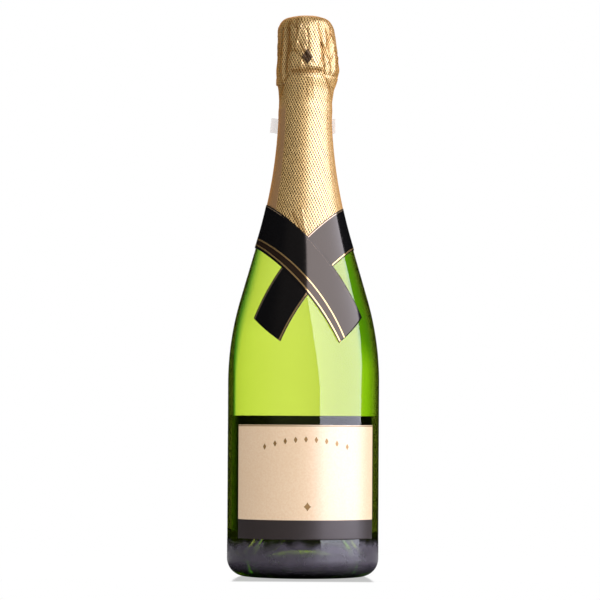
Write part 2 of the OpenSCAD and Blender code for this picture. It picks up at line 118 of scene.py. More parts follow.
# Thin closed sheet between two grids of points with the same rows and columns
def shell(outer, inner, closed):
    rows, columns = outer.shape[:2]
    count = rows * columns
    points = np.concatenate([outer.reshape(-1, 3), inner.reshape(-1, 3)])
    skin = gridFaces(rows, columns, closed)
    quads = [skin, count + skin[:, ::-1]]
    j = np.arange(columns if closed else columns - 1)
    k = (j + 1) % columns
    for base, flip in ((0, True), (count - columns, False)):
        rim = np.stack([base + j, base + k, count + base + k, count + base + j], -1)
        quads.append(rim[:, ::-1] if flip else rim)
    if not closed:
        i = np.arange(rows - 1) * columns
        for base, flip in ((0, False), (columns - 1, True)):
            start = i + base
            end = start + columns
            rim = np.stack([start, end, count + end, count + start], -1)
            quads.append(rim[:, ::-1] if flip else rim)
    return points, np.concatenate(quads)


# Round tube of radius r along a path: path + r (u cos a + v sin a), with u and v square to the path.
# across is a direction that is never along the path.
def tube(path, across, r, sides, closed):
    if closed:
        tangent = np.roll(path, -1, 0) - np.roll(path, 1, 0)
    else:
        tangent = np.gradient(path, axis=0)
    tangent /= np.linalg.norm(tangent, axis=1)[:, None]
    u = across - (across * tangent).sum(1)[:, None] * tangent
    u /= np.linalg.norm(u, axis=1)[:, None]
    v = np.cross(tangent, u)
    a = 2 * np.pi * np.arange(sides)[None, :, None] / sides
    points = path[:, None] + r * (np.cos(a) * u[:, None] + np.sin(a) * v[:, None])
    quads = gridFaces(len(path), sides, True)
    if closed:
        j = np.arange(sides)
        k = (j + 1) % sides
        base = (len(path) - 1) * sides
        quads = np.concatenate([quads, np.stack([base + j, base + k, k, j], -1)])
    return points.reshape(-1, 3), quads


# One set of points and faces from several
def joined(parts):
    offsets = np.cumsum([0] + [len(points) for points, faces in parts])
    faces = [part[1] + offset for part, offset in zip(parts, offsets)]
    return np.concatenate([points for points, _ in parts]), np.concatenate(faces)


def arc(centreR, centreZ, r, start, end, steps):
    a = np.radians(np.linspace(start, end, steps + 1))
    return np.stack([centreR + r * np.cos(a), centreZ + r * np.sin(a)], -1)


# Value at z from a table of (z, value) pairs, and 0 beyond its ends
def fromTable(z, table):
    heights, values = np.transpose(table)
    return np.interp(z, heights, values, left=0, right=0)


# The outer and the inner face of a sheet carry the same values
def onBothFaces(values):
    return {key: np.tile(value.ravel(), 2) for key, value in values.items()}


# Outline of the glass, as in the CAD: side, shoulder arc, straight flank, sweep arc and neck

glass = {
    "bodyR": 44.0, "neckR": 15.0, "height": 305.0, "shoulderR": 173.0, "sweepR": 286.0, "flank": 16.3,
    "taper": 1.4, "neckRun": 5.8, "waistDrop": 12.0, "bodyWall": 5.4, "neckWall": 4.9, "heelR": 10.5,
    "standW": 3.5, "puntH": 34.0, "floorT": 10.0, "ullage": 78.0, "ringR": 16.2, "ringH": 9.5,
    "ringDrop": 8.0, "lipR": 14.3, "lipH": 5.0, "boreR": 8.75, "corkIn": 24.0,
}
flank = math.radians(glass["flank"])
taper = math.radians(glass["taper"])
ringTopZ = glass["height"] - glass["ringDrop"]
ringFootZ = ringTopZ - glass["ringH"]
waistZ = ringFootZ - glass["waistDrop"]
sweepEndZ = waistZ - glass["neckRun"]
sweepZ = sweepEndZ - glass["sweepR"] * (math.sin(flank) - math.sin(taper))
sweepIn = glass["sweepR"] * (math.cos(taper) - math.cos(flank))
flankR = glass["neckR"] + glass["neckRun"] * math.tan(taper) + sweepIn
shoulderIn = glass["shoulderR"] * (1 - math.cos(flank))
shoulderEndZ = sweepZ - (glass["bodyR"] - shoulderIn - flankR) / math.tan(flank)
sideH = shoulderEndZ - glass["shoulderR"] * math.sin(flank)


def outsideR(z):
    z = np.asarray(z, dtype=float)
    shoulderArc = np.sqrt(np.maximum(glass["shoulderR"] ** 2 - (z - sideH) ** 2, 0))
    shoulder = glass["bodyR"] - glass["shoulderR"] + shoulderArc
    straight = flankR + (sweepZ - z) * math.tan(flank)
    sweepCentreZ = sweepZ + glass["sweepR"] * math.sin(flank)
    sweepArc = np.sqrt(np.maximum(glass["sweepR"] ** 2 - (sweepCentreZ - z) ** 2, 0))
    sweep = flankR + glass["sweepR"] * math.cos(flank) - sweepArc
    neck = glass["neckR"] + (waistZ - z) * math.tan(taper)
    below = [z < sideH, z < shoulderEndZ, z < sweepZ, z < sweepEndZ]
    return np.select(below, [glass["bodyR"], shoulder, straight, sweep], neck)


def insideR(z):
    return outsideR(z) - np.interp(z, [sideH, sweepEndZ], [glass["bodyWall"], glass["neckWall"]])


# Height of the punt over its foot: h (1 - (r / edge)^2)^1.5
def puntHeight(r, edge):
    return glass["puntH"] * (1 - (r / edge) ** 2) ** 1.5


# Node trees

# Short way to build a node tree: most calls return the first output of the node that they add
class Graph:
    def __init__(self, tree):
        self.tree = tree
        self.surface = tree.nodes.get("Principled BSDF")
        self.output = tree.nodes.get("Material Output")

    def node(self, kind, inputs=(), **settings):
        made = self.tree.nodes.new(kind)
        for key, value in settings.items():
            setattr(made, key, value)
        for key, value in (inputs.items() if isinstance(inputs, dict) else enumerate(inputs)):
            self.give(made.inputs[key], value)
        return made

    def give(self, socket, value):
        if isinstance(value, bpy.types.NodeSocket):
            self.tree.links.new(value, socket)
        else:
            socket.default_value = value

    def drive(self, socketName, value):
        self.tree.links.new(value, self.surface.inputs[socketName])

    def math(self, operation, *values):
        return self.node("ShaderNodeMath", values, operation=operation).outputs[0]

    def product(self, first, *others):
        for value in others:
            first = self.math("MULTIPLY", first, value)
        return first

    def scaled(self, value, factor, offset):
        return self.math("MULTIPLY_ADD", value, factor, offset)

    def invert(self, value):
        return self.math("SUBTRACT", 1.0, value)

    def dot(self, vector, direction):
        made = self.node("ShaderNodeVectorMath", (vector, direction), operation="DOT_PRODUCT")
        return made.outputs["Value"]

    def length(self, vector):
        return self.node("ShaderNodeVectorMath", (vector,), operation="LENGTH").outputs["Value"]

    def split(self, vector):
        return self.node("ShaderNodeSeparateXYZ", (vector,)).outputs

    # Distance from the Z axis
    def radius(self, vector):
        x, y, z = self.split(vector)
        return self.math("SQRT", self.math("ADD", self.math("POWER", x, 2.0), self.math("POWER", y, 2.0)))

    def mix(self, factor, a, b):
        made = self.node("ShaderNodeMix", {0: factor}, data_type="RGBA")
        self.give(made.inputs[6], a)
        self.give(made.inputs[7], b)
        return made.outputs[2]

    # 0 below low, 1 above high, smooth between
    def step(self, value, low, high):
        ends = {"Value": value, "From Min": low, "From Max": high}
        return self.node("ShaderNodeMapRange", ends, interpolation_type="SMOOTHSTEP").outputs["Result"]

    def noise(self, vector, scale, detail=3.0, roughness=0.5):
        grain = {"Vector": vector, "Scale": scale, "Detail": detail, "Roughness": roughness}
        return self.node("ShaderNodeTexNoise", grain).outputs[0]

    def attribute(self, name):
        return self.node("ShaderNodeAttribute", attribute_name=name).outputs["Fac"]

    def place(self):
        return self.node("ShaderNodeTexCoord").outputs["Object"]

    def bump(self, height, strength, distance):
        relief = {"Height": height, "Strength": strength, "Distance": distance}
        return self.node("ShaderNodeBump", relief).outputs[0]

    # The material's surface is a blend of two shaders
    def blend(self, share, first, second):
        made = self.node("ShaderNodeMixShader", (share, first.outputs[0], second.outputs[0]))
        self.tree.links.new(made.outputs[0], self.output.inputs["Surface"])
        return made


# Colour on the screen, 0 to 255, as linear RGBA
def rgb(red, green, blue):
    screen = np.array([red, green, blue]) / 255
    linear = np.where(screen <= 0.04045, screen / 12.92, ((screen + 0.055) / 1.055) ** 2.4)
    return (*linear.tolist(), 1.0)


def newMaterial(name, finish):
    material = bpy.data.materials.new(name)
    material.use_nodes = True
    graph = Graph(material.node_tree)
    for key, value in finish.items():
        graph.surface.inputs[key].default_value = value
    return material, graph


# Clear stuff whose colour comes from what it absorbs on the way through
def clearMaterial(name, roughness, ior, colour, density):
    finish = {"Base Color": (1, 1, 1, 1), "Transmission Weight": 1.0, "Roughness": roughness, "IOR": ior}
    material, graph = newMaterial(name, finish)
    volume = graph.node("ShaderNodeVolumeAbsorption", {"Color": colour, "Density": density})
    graph.tree.links.new(volume.outputs[0], graph.output.inputs["Volume"])
    return material, graph


# Bottle

glassLook = {
    "colour": (0.83, 0.915, 0.22, 1.0), "density": 262.0, "ripple": 0.012,
    "dustAndShade": 0.88, "dustAndShadeTop": 0.0205, "segments": 240,
}


def greenGlass():
    material, graph = clearMaterial("greenGlass", 0.01, 1.5, glassLook["colour"], glassLook["density"])
    place = graph.place()
    graph.drive("Normal", graph.bump(graph.noise(place, 28.0, 1.0), glassLook["ripple"], 0.01))
    # Slate film on the outside of the foot, thinner upwards: partly dust and scuffs, partly a painted
    # slate reflection and shade that darken the foot
    z = graph.split(place)[2]
    outside = graph.step(graph.radius(place), 0.0385, 0.0395)
    blotch = graph.noise(place, 95.0, 5.0, 0.65)
    edge = graph.scaled(blotch, 0.014, glassLook["dustAndShadeTop"] - 0.007)
    low = graph.invert(graph.step(graph.math("SUBTRACT", z, edge), -0.004, 0.002))
    patchy = graph.scaled(graph.step(blotch, 0.3, 0.7), 0.2, 0.8)
    clearHeel = graph.step(z, 0.001, 0.009)
    amount = graph.product(outside, low, patchy, clearHeel, glassLook["dustAndShade"])
    film = graph.node("ShaderNodeBsdfPrincipled", {"Base Color": rgb(76, 69, 82), "Roughness": 0.4})
    graph.blend(amount, graph.surface, film)
    return material


# (r, z) from the top of the wine space to the middle of the punt, grown outwards
def wineSpace(grow, top):
    heelR = glass["heelR"] - 1
    heelZ = glass["floorT"] + heelR
    standR = glass["bodyR"] - glass["bodyWall"] - heelR
    sideZ = np.linspace(top, heelZ, 90)
    side = np.stack([insideR(sideZ) + grow, sideZ], -1)
    heel = arc(standR, heelZ, heelR + grow, 0, -90, 14)[1:]
    floorR = np.linspace(standR, 0, 40)[1:]
    floor = np.stack([floorR, glass["floorT"] - grow + puntHeight(floorR, standR)], -1)
    return np.concatenate([side, heel, floor])


# Once round the glass: punt, standing ring, heel, side, neck, ring, lip, bore and the wine's space
def bottleProfile():
    heelR = glass["heelR"]
    standR = glass["bodyR"] - heelR
    puntR = standR - glass["standW"]
    ringR = glass["ringR"]
    lipR = glass["lipR"]
    boreR = glass["boreR"]
    top = glass["height"]
    lipFootZ = top - glass["lipH"]
    floorR = np.linspace(0, puntR - 0.6, 40)
    lowZ = np.linspace(14, sideH - 1, 10)
    highZ = np.linspace(sideH, ringFootZ - 0.2, 110)
    sideZ = np.concatenate([[heelR + 0.01], lowZ, highZ])
    return np.concatenate([
        np.stack([floorR, puntHeight(floorR, puntR)], -1),
        [[puntR - 0.25, 0.12], [puntR + 0.2, 0.0]],
        arc(standR, heelR, heelR, -90, 0, 20),
        np.stack([outsideR(sideZ), sideZ], -1),
        [[float(outsideR(ringFootZ)), ringFootZ], [ringR - 0.25, ringFootZ + 2.2]],
        arc(ringR - 1.4, ringTopZ - 1.4, 1.4, 0, 80, 6),
        [[lipR - 1.1, ringTopZ + 0.5], [lipR - 1.1, lipFootZ], [lipR, lipFootZ + 0.8]],
        arc(lipR - 1.2, top - 1.2, 1.2, 0, 90, 6),
        arc(boreR + 0.8, top - 0.8, 0.8, 90, 180, 5),
        [[boreR, top - glass["corkIn"] - 2]],
        wineSpace(0, top - glass["corkIn"] - 10),
    ])


def makeBottle():
    points, quads, poles = revolve(bottleProfile(), glassLook["segments"])
    addPiece("bottleGlass", "bottle", "bottle_glass", ["bottle_glass"], greenGlass(), points, quads,
             triangles=poles)


makeBottle()
print("bottle made")


# Wine, drawn 0.1 mm into the glass so that light passes straight from one to the other

wineLook = {"colour": (0.9, 0.86, 0.25, 1), "density": 5.0, "overlap": 0.1, "meniscus": 0.6}


def makeWine():
    topZ = glass["height"] - glass["ullage"]
    flatZ = topZ - wineLook["meniscus"]
    profile = wineSpace(wineLook["overlap"], flatZ)
    rimR = profile[0, 0]
    # The surface climbs a little where it meets the glass
    surface = np.array([[0, flatZ], [rimR * 0.75, flatZ], [rimR - 1.2, topZ - 0.45], [rimR - 0.3, topZ]])
    points, quads, poles = revolve(np.concatenate([surface, profile])[::-1], glassLook["segments"])
    material, graph = clearMaterial("wine", 0.0, 1.34, wineLook["colour"], wineLook["density"])
    addPiece("wineFill", "bottle", "wine", ["wine"], material, points, quads, triangles=poles)


makeWine()
print("wine made")


# Labels: glued paper, whose inner face lies 0.03 mm in the glass so that no film of air is left

labelLook = {
    "frontZ": (22.6, 87.8), "frontHalf": 60.6, "frontTurn": 3.4, "backZ": (25.0, 93.2), "backHalf": 47.0,
    "stand": 0.05, "thick": 0.12, "glue": 0.03, "footTop": (0.0336, 0.0338),
    "lineFoot": (0.0869, 0.0870), "lineTop": (0.0874, 0.0875),
}


# Cream paper over a dark foot, with a thin gold line along the top
def creamPaper():
    material, graph = newMaterial("creamPaper", {"Specular IOR Level": 0.9})
    place = graph.place()
    z = graph.split(place)[2]
    fibre = graph.noise(place, 900.0, 4.0, 0.6)
    cloud = graph.noise(place, 60.0, 3.0)
    cream = graph.mix(graph.step(fibre, 0.3, 0.7), rgb(240, 206, 168), rgb(247, 219, 186))
    cream = graph.mix(graph.product(cloud, 0.35), cream, rgb(236, 200, 160))
    aboveFoot = graph.step(z, *labelLook["footTop"])
    printed = graph.mix(aboveFoot, rgb(48, 40, 39), cream)
    aboveLine = graph.step(z, *labelLook["lineTop"])
    line = graph.product(graph.step(z, *labelLook["lineFoot"]), graph.invert(aboveLine))
    graph.drive("Base Color", graph.mix(line, printed, rgb(128, 98, 44)))
    graph.drive("Roughness", graph.scaled(aboveFoot, -0.04, 0.38))
    graph.drive("Specular Tint", graph.mix(aboveFoot, (0.5, 0.47, 0.46, 1), (1, 1, 1, 1)))
    graph.drive("Normal", graph.bump(fibre, 0.15, 0.0001))
    return material


def blackPaper():
    material, graph = newMaterial("blackPaper", {"Roughness": 0.9, "Specular IOR Level": 0.05})
    fibre = graph.noise(graph.place(), 700.0, 3.0)
    graph.drive("Base Color", graph.mix(fibre, rgb(8, 8, 8), rgb(14, 14, 13)))
    graph.drive("Normal", graph.bump(fibre, 0.1, 0.0001))
    return material


# Sheet on the side of the bottle, over the azimuths centre - half to centre + half
def addLabel(name, node, slot, material, centre, half, heights, columns, rows):
    azimuth = np.linspace(centre - half, centre + half, columns)
    azimuth, z = np.meshgrid(azimuth, np.linspace(*heights, rows))
    outer = onSurface(azimuth, z, outsideR(z) + labelLook["stand"] + labelLook["thick"])
    inner = onSurface(azimuth, z, outsideR(z) - labelLook["glue"])
    points, quads = shell(outer, inner, False)
    addPiece(name, "bottle", slot, [node], material, points, quads)


addLabel("frontLabel", "front_label", "front_paper", creamPaper(), labelLook["frontTurn"],
         labelLook["frontHalf"], labelLook["frontZ"], 160, 90)
addLabel("backLabel", "back_label", "back_paper", blackPaper(), 180,
         labelLook["backHalf"], labelLook["backZ"], 120, 60)
print("labels made")


# Neck band: two strips whose edges are circle arcs in the front view, as (centre x, centre z, radius)

bandLook = {
    "overUpper": (-106.7, 88.4, 152.6), "overLower": (-116.5, 65.2, 153.0),
    "overEnds": ((19.9, 134.4), (33.3, 148.4)), "overLines": ((-89.8, 90.2, 122.4), (-112.4, 70.3, 148.1)),
    "underUpper": (-104.1, 96.2, 142.8), "underLower": (-115.1, 78.5, 140.4),
    "underEnds": ((13.4, 134.1), (28.8, 148.2)), "overOff": 0.56, "underOff": 0.33, "thick": 0.15,
    "lap": 10.0, "rows": 60, "frontColumns": 260, "backColumns": 90,
    "gold": rgb(214, 178, 120), "paleGold": rgb(186, 160, 136), "lineHalf": 0.33, "topHalf": 0.2,
}


# Height where an arc of the front view crosses an azimuth: z = cz + sqrt(r^2 - (x - cx)^2), with x on
# the glass at that height, repeated until it settles
def edgeHeights(azimuth, circle):
    centreX, centreZ, r = circle
    z = np.full_like(azimuth, 200.0)
    for _ in range(60):
        x = (outsideR(z) + 0.5) * np.sin(np.radians(azimuth))
        z = centreZ + np.sqrt(np.maximum(r * r - (x - centreX) ** 2, 0))
    return z


def sideHeight(circle):
    return float(edgeHeights(np.array([-90.0]), circle)[0])


def azimuthOf(x, z):
    return float(np.degrees(np.arcsin(x / (outsideR(z) + 0.5))))


# Strip from behind the neck, level, then round the left side and down across the front
def bandStrip(upper, lower, ends, off):
    backAzimuth = np.linspace(-180 - bandLook["lap"], -90, bandLook["backColumns"], endpoint=False)
    edges = []
    for circle, end in ((lower, ends[0]), (upper, ends[1])):
        frontAzimuth = np.linspace(-90, azimuthOf(*end), bandLook["frontColumns"])
        behind = np.stack([backAzimuth, 0 * backAzimuth + sideHeight(circle)], -1)
        ahead = np.stack([frontAzimuth, edgeHeights(frontAzimuth, circle)], -1)
        edges.append(np.concatenate([behind, ahead]))
    share = np.linspace(0, 1, bandLook["rows"])[:, None, None]
    grid = edges[0] * (1 - share) + edges[1] * share
    azimuth = grid[..., 0]
    z = grid[..., 1]
    outer = onSurface(azimuth, z, outsideR(z) + off + bandLook["thick"])
    inner = onSurface(azimuth, z, outsideR(z) + off)
    return azimuth, z, outer, inner


# Distance from a printed line: its arc on the front half, a level line behind
def lineDistance(azimuth, z, x, circle):
    centreX, centreZ, r = circle
    return np.where(azimuth > -90, np.hypot(x - centreX, z - centreZ) - r, z - sideHeight(circle))


def bandMaterial(name, lines, brown):
    finish = {"Specular IOR Level": 0.5, "Specular Tint": (1.0, 0.84, 0.68, 1.0)}
    material, graph = newMaterial(name, finish)
    place = graph.place()
    grain = graph.noise(place, 500.0, 3.0)
    colour = graph.mix(grain, rgb(12, 12, 14), rgb(20, 19, 20))
    if brown:
        colour = graph.mix(graph.product(graph.attribute("brownStrip"), 0.8), colour, rgb(40, 28, 20))
    metal = 0.0
    for line, half, tint in lines:
        away = graph.math("ABSOLUTE", graph.attribute(line))
        mask = graph.invert(graph.step(away, half - 0.08, half + 0.08))
        colour = graph.mix(mask, colour, tint)
        metal = graph.math("MAXIMUM", metal, mask)
    graph.drive("Base Color", colour)
    graph.drive("Metallic", graph.product(metal, 0.75))
    graph.drive("Roughness", graph.scaled(grain, 0.04, 0.09))
    graph.drive("Normal", graph.bump(graph.noise(place, 45.0, 2.0), 0.12, 0.001))
    return material


def makeBandOver():
    look = bandLook
    azimuth, z, outer, inner = bandStrip(look["overUpper"], look["overLower"], look["overEnds"],
                                         look["overOff"])
    x = outer[..., 0]
    lineOne, lineTwo = [lineDistance(azimuth, z, x, circle) for circle in look["overLines"]]
    # The pale line along the upper edge thins from azimuth -34 and ends at -20
    topLine = lineDistance(azimuth, z, x, look["overUpper"]) + 0.9
    topLine *= 1 + 40 * np.clip((azimuth + 34) / 12, 0, 1)
    topLine += np.where(azimuth > -20, 9, 0)
    brown = ((lineOne < 0) & (lineTwo > 0)).astype(float)
    values = {"lineOne": lineOne, "lineTwo": lineTwo, "topLine": topLine, "brownStrip": brown}
    lines = [("lineOne", look["lineHalf"], look["gold"]), ("lineTwo", look["lineHalf"], look["gold"]),
             ("topLine", look["topHalf"], look["paleGold"])]
    points, quads = shell(outer, inner, False)
    addPiece("bandOver", "bottle", "band_paper", ["band_over"], bandMaterial("bandOver", lines, True),
             points, quads, values=onBothFaces(values))


# The lower strip is worked out on the left, as the upper one is, and mirrored to the right
def makeBandUnder():
    look = bandLook
    azimuth, z, outer, inner = bandStrip(look["underUpper"], look["underLower"], look["underEnds"],
                                         look["underOff"])
    x = outer[..., 0]
    values = {"lowLine": lineDistance(azimuth, z, x, look["underLower"]) - 1.0,
              "topLine": lineDistance(azimuth, z, x, look["underUpper"]) + 0.7}
    lines = [("lowLine", look["lineHalf"], look["gold"]), ("topLine", look["topHalf"], look["paleGold"])]
    mirror = np.array([-1, 1, 1])
    points, quads = shell(outer * mirror, inner * mirror, False)
    addPiece("bandUnder", "bottle", "band_paper", ["band_under"], bandMaterial("bandUnder", lines, False),
             points, quads[:, ::-1], values=onBothFaces(values))


makeBandOver()
makeBandUnder()
print("neck band made")


# Foil

# cap and skirt are (z, r) outlines, lean is (z, shift to the right)
foilLook = {
    "cap": [(289.7, 17.75), (291.7, 18.1), (294.0, 18.2), (296.4, 18.0), (301.0, 17.5), (305.7, 17.2),
            (310.3, 16.85), (315.0, 16.45), (317.3, 16.1), (319.7, 15.3), (321.2, 14.5), (322.4, 13.4),
            (323.5, 11.9), (324.4, 9.4), (325.0, 6.4), (325.25, 3.2)],
    "skirt": [(268.0, 15.75), (270.7, 15.65), (275.4, 15.35), (277.7, 15.6), (280.0, 15.85),
              (282.4, 16.2), (284.7, 16.85), (287.0, 17.45), (289.4, 17.85), (290.3, 17.9)],
    "lean": [(262, 0.0), (268, 0.1), (280, 0.55), (287, 0.9), (292, 1.25), (297, 1.3), (305, 1.2),
             (312, 0.9), (318, 0.55), (322, 0.3), (326, 0.2)],
    "columns": 336, "capRows": 140, "hemZ": 192.4, "tearZ": 262.0, "skirtTopZ": 290.2, "thick": 0.12,
    "lattice": ((27, 1.42, 1.0), (-38, 1.43, 0.8)), "metallic": 0.55,
    "plainLeft": (-116.0, -46.5), "plainRight": (58.5, 112.0),
}

# (z, radius) of what the foil lies on: the bottle's ring, the hood's legs, the eye of its belt, and its
# cap with the rim below
underFoil = {
    "legs": (-48.0, 41.0, 131.0, -139.0), "eyeAzimuth": 90,
    "ring": [(283, 0), (285, 16.95), (287.6, 16.95), (290, 16.6), (297, 16.6), (300, 0)],
    "leg": [(284, 0), (285.2, 17.7), (289, 18.0), (297, 18.0), (317.6, 16.4), (318.5, 0)],
    "eye": [(285.5, 16.9), (287.5, 18.5), (301.5, 19.25), (306, 15)],
    "crown": [(317.0, 0), (317.3, 15.25), (318.6, 15.2), (320, 14.95), (321.4, 14.3), (322.6, 13.2),
              (323.4, 12.0), (323.9, 9.9), (324.4, 6.8), (324.9, 0)],
    "rim": [(316.5, 15.0), (316.9, 15.85), (318.1, 15.85), (318.5, 15.2)],
}

# Folds as (azimuth, z) at one end, (azimuth, z) at the other, width and height, in mm
headFolds = [
    ((-40, 291), (-38, 320), 0.8, -0.75), ((-50, 290), (-49, 320), 0.9, 0.3),
    ((-60, 292), (-56, 318), 0.8, -0.4), ((36, 290), (33, 306), 0.7, -0.8),
    ((33, 306), (27, 319), 0.7, -0.6), ((42, 289), (40, 312), 0.9, 0.35),
    ((52, 291), (47, 316), 0.8, -0.4), ((63, 297), (58, 318), 0.9, 0.3),
    ((72, 291), (70, 310), 0.9, -0.35), ((-33, 303.4), (-8, 303.2), 0.5, -0.28),
    ((-75, 291), (-71, 310), 0.9, -0.35),
]
skirtFolds = [
    ((-34, 290), (-72, 278), 0.8, -0.55), ((-30, 290), (-58, 280), 0.9, 0.3),
    ((35, 289), (72, 278.5), 0.8, -0.55), ((31, 289), (56, 280.5), 0.9, 0.28),
    ((-46.5, 280), (-46.5, 198), 0.35, -0.16), ((58, 280), (60, 198), 0.35, -0.14),
    ((-48.5, 278), (-48.5, 200), 0.4, 0.12), ((0, 196), (-16, 209), 0.4, -0.8),
    ((-6, 197), (-22, 203), 0.3, 0.4), ((2, 197), (-4, 211), 0.35, 0.3),
]


# Short creases at random all over the head
def smallHeadFolds(draw):
    folds = []
    for _ in range(110):
        azimuth = draw.uniform(-180, 180)
        z = draw.uniform(291, 318)
        turn = draw.normal() * 14
        rise = draw.uniform(4, 14)
        width = draw.uniform(0.3, 0.7)
        depth = draw.choice([-1, 1]) * draw.uniform(0.15, 0.45)
        folds.append(((azimuth, z), (azimuth + turn, z + rise), width, depth))
    return folds


# Gathers below the head, one in each 18 degrees
def smallSkirtFolds(draw):
    folds = []
    for k in range(20):
        azimuth = -180 + 18 * k + draw.uniform(-5, 5)
        end = (azimuth + draw.normal() * 5, 279 - draw.uniform(0, 4))
        width = draw.uniform(0.6, 1.0)
        depth = draw.choice([-1, 1]) * draw.uniform(0.08, 0.2)
        folds.append(((azimuth, 289), end, width, depth))
    return folds


foilDraw = np.random.default_rng(7)
headFolds = smallHeadFolds(foilDraw) + headFolds
skirtFolds = skirtFolds + smallSkirtFolds(foilDraw)


def turnFrom(azimuth, centre):
    return (azimuth - centre + 180) % 360 - 180


def logistic(x):
    return 1 / (1 + np.exp(-x))


# Smooth bumps round the neck: a sum of sines whose counts round the axis are whole numbers
def periodicNoise(azimuth, z, seed, waves, spread, stretch):
    draw = np.random.default_rng(seed)
    total = np.zeros(np.broadcast(azimuth, z).shape)
    for _ in range(waves):
        count = draw.integers(1, spread)
        strength = draw.normal() / math.sqrt(count)
        slope = draw.normal() * stretch
        total += strength * np.sin(np.radians(azimuth) * count + z * slope + draw.uniform(0, 6.28))
    return total / math.sqrt(waves)


# Ridge (depth > 0) or valley along a line from start to end: depth exp(-|across| / width), ends rounded
def crease(azimuth, z, start, end, width, depth):
    soft = 1.2
    arcLength = 17 * math.pi / 180
    x = turnFrom(azimuth, start[0]) * arcLength
    y = z - start[1]
    runX = turnFrom(end[0], start[0]) * arcLength
    runY = end[1] - start[1]
    length = math.hypot(runX, runY)
    along = (x * runX + y * runY) / length
    across = (x * runY - y * runX) / length
    ends = logistic((along + soft) / 0.5) * logistic((length + soft - along) / 0.5)
    return depth * np.exp(-np.abs(across) / width) * ends


# Radius that the foil has to clear at each azimuth and height
def radiusUnderFoil(azimuth, z):
    r = fromTable(z, underFoil["ring"])
    legTop = fromTable(z, underFoil["leg"])
    for leg in underFoil["legs"]:
        near = np.exp(-(turnFrom(azimuth, leg) / 4.0) ** 2)
        r = np.maximum(r, legTop * np.where(near > 0.02, 1, 0) * (0.93 + 0.07 * near))
    near = np.clip((34 - np.abs(turnFrom(azimuth, underFoil["eyeAzimuth"]))) / 18, 0, 1)
    swell = 0.86 + 0.14 * near * near * (3 - 2 * near)
    r = np.maximum(r, fromTable(z, underFoil["eye"]) * np.where(near > 0, 1, 0) * swell)
    return np.maximum(r, np.maximum(fromTable(z, underFoil["crown"]), fromTable(z, underFoil["rim"])))


# The larger of two, rounded over a width of k where they cross
def smoothMax(a, b, k):
    share = np.clip(0.5 + 0.5 * (a - b) / k, 0, 1)
    return b + (a - b) * share + k * share * (1 - share)


# Radius of the foil from the plain outline r, its lean, what lies under it and its creases, and the
# painted shade of its folds and groove, 0 to 1, by how deep in them each point is
def foilSurface(azimuth, z, r, seed, folds):
    base = r + fromTable(z, foilLook["lean"]) * np.sin(np.radians(azimuth))
    head = np.clip((z - 276) / 8, 0, 1)
    rim = np.clip((321 - z) / 4, 0, 1)
    base = base + 0.16 * head * rim * periodicNoise(azimuth, z, seed, 40, 26, 0.45)
    # Pressed in below the ring between the legs, in front and behind
    window = sum(np.clip((36 - np.abs(turnFrom(azimuth, centre))) / 10, 0, 1) for centre in (0, 180))
    groove = window * window * (3 - 2 * window) * np.exp(-((z - 291.9) / 1.5) ** 2)
    base = base - 1.5 * groove
    # Painted shade in the groove and in the valleys of the creases, laid on as colour in the material
    paintedFoldShade = 0.45 * groove
    for start, end, width, depth in folds:
        rise = crease(azimuth, z, start, end, width, depth)
        base = base + rise
        paintedFoldShade = paintedFoldShade + np.maximum(-rise, 0)
    return smoothMax(base, radiusUnderFoil(azimuth, z), 0.35), np.clip(paintedFoldShade / 0.45, 0, 1)


# Two waves of dots in the plane of the map: sin(k1 . p) + 0.8 sin(k2 . p)
def latticeWaves(graph, where, scale):
    waves = []
    for degrees, pitch, strength in foilLook["lattice"]:
        turn = math.radians(degrees)
        k = 2 * math.pi / pitch * scale
        phase = graph.dot(where, (k * math.cos(turn), k * math.sin(turn), 0))
        waves.append(graph.product(graph.math("SINE", phase), strength))
    return graph.math("ADD", *waves)


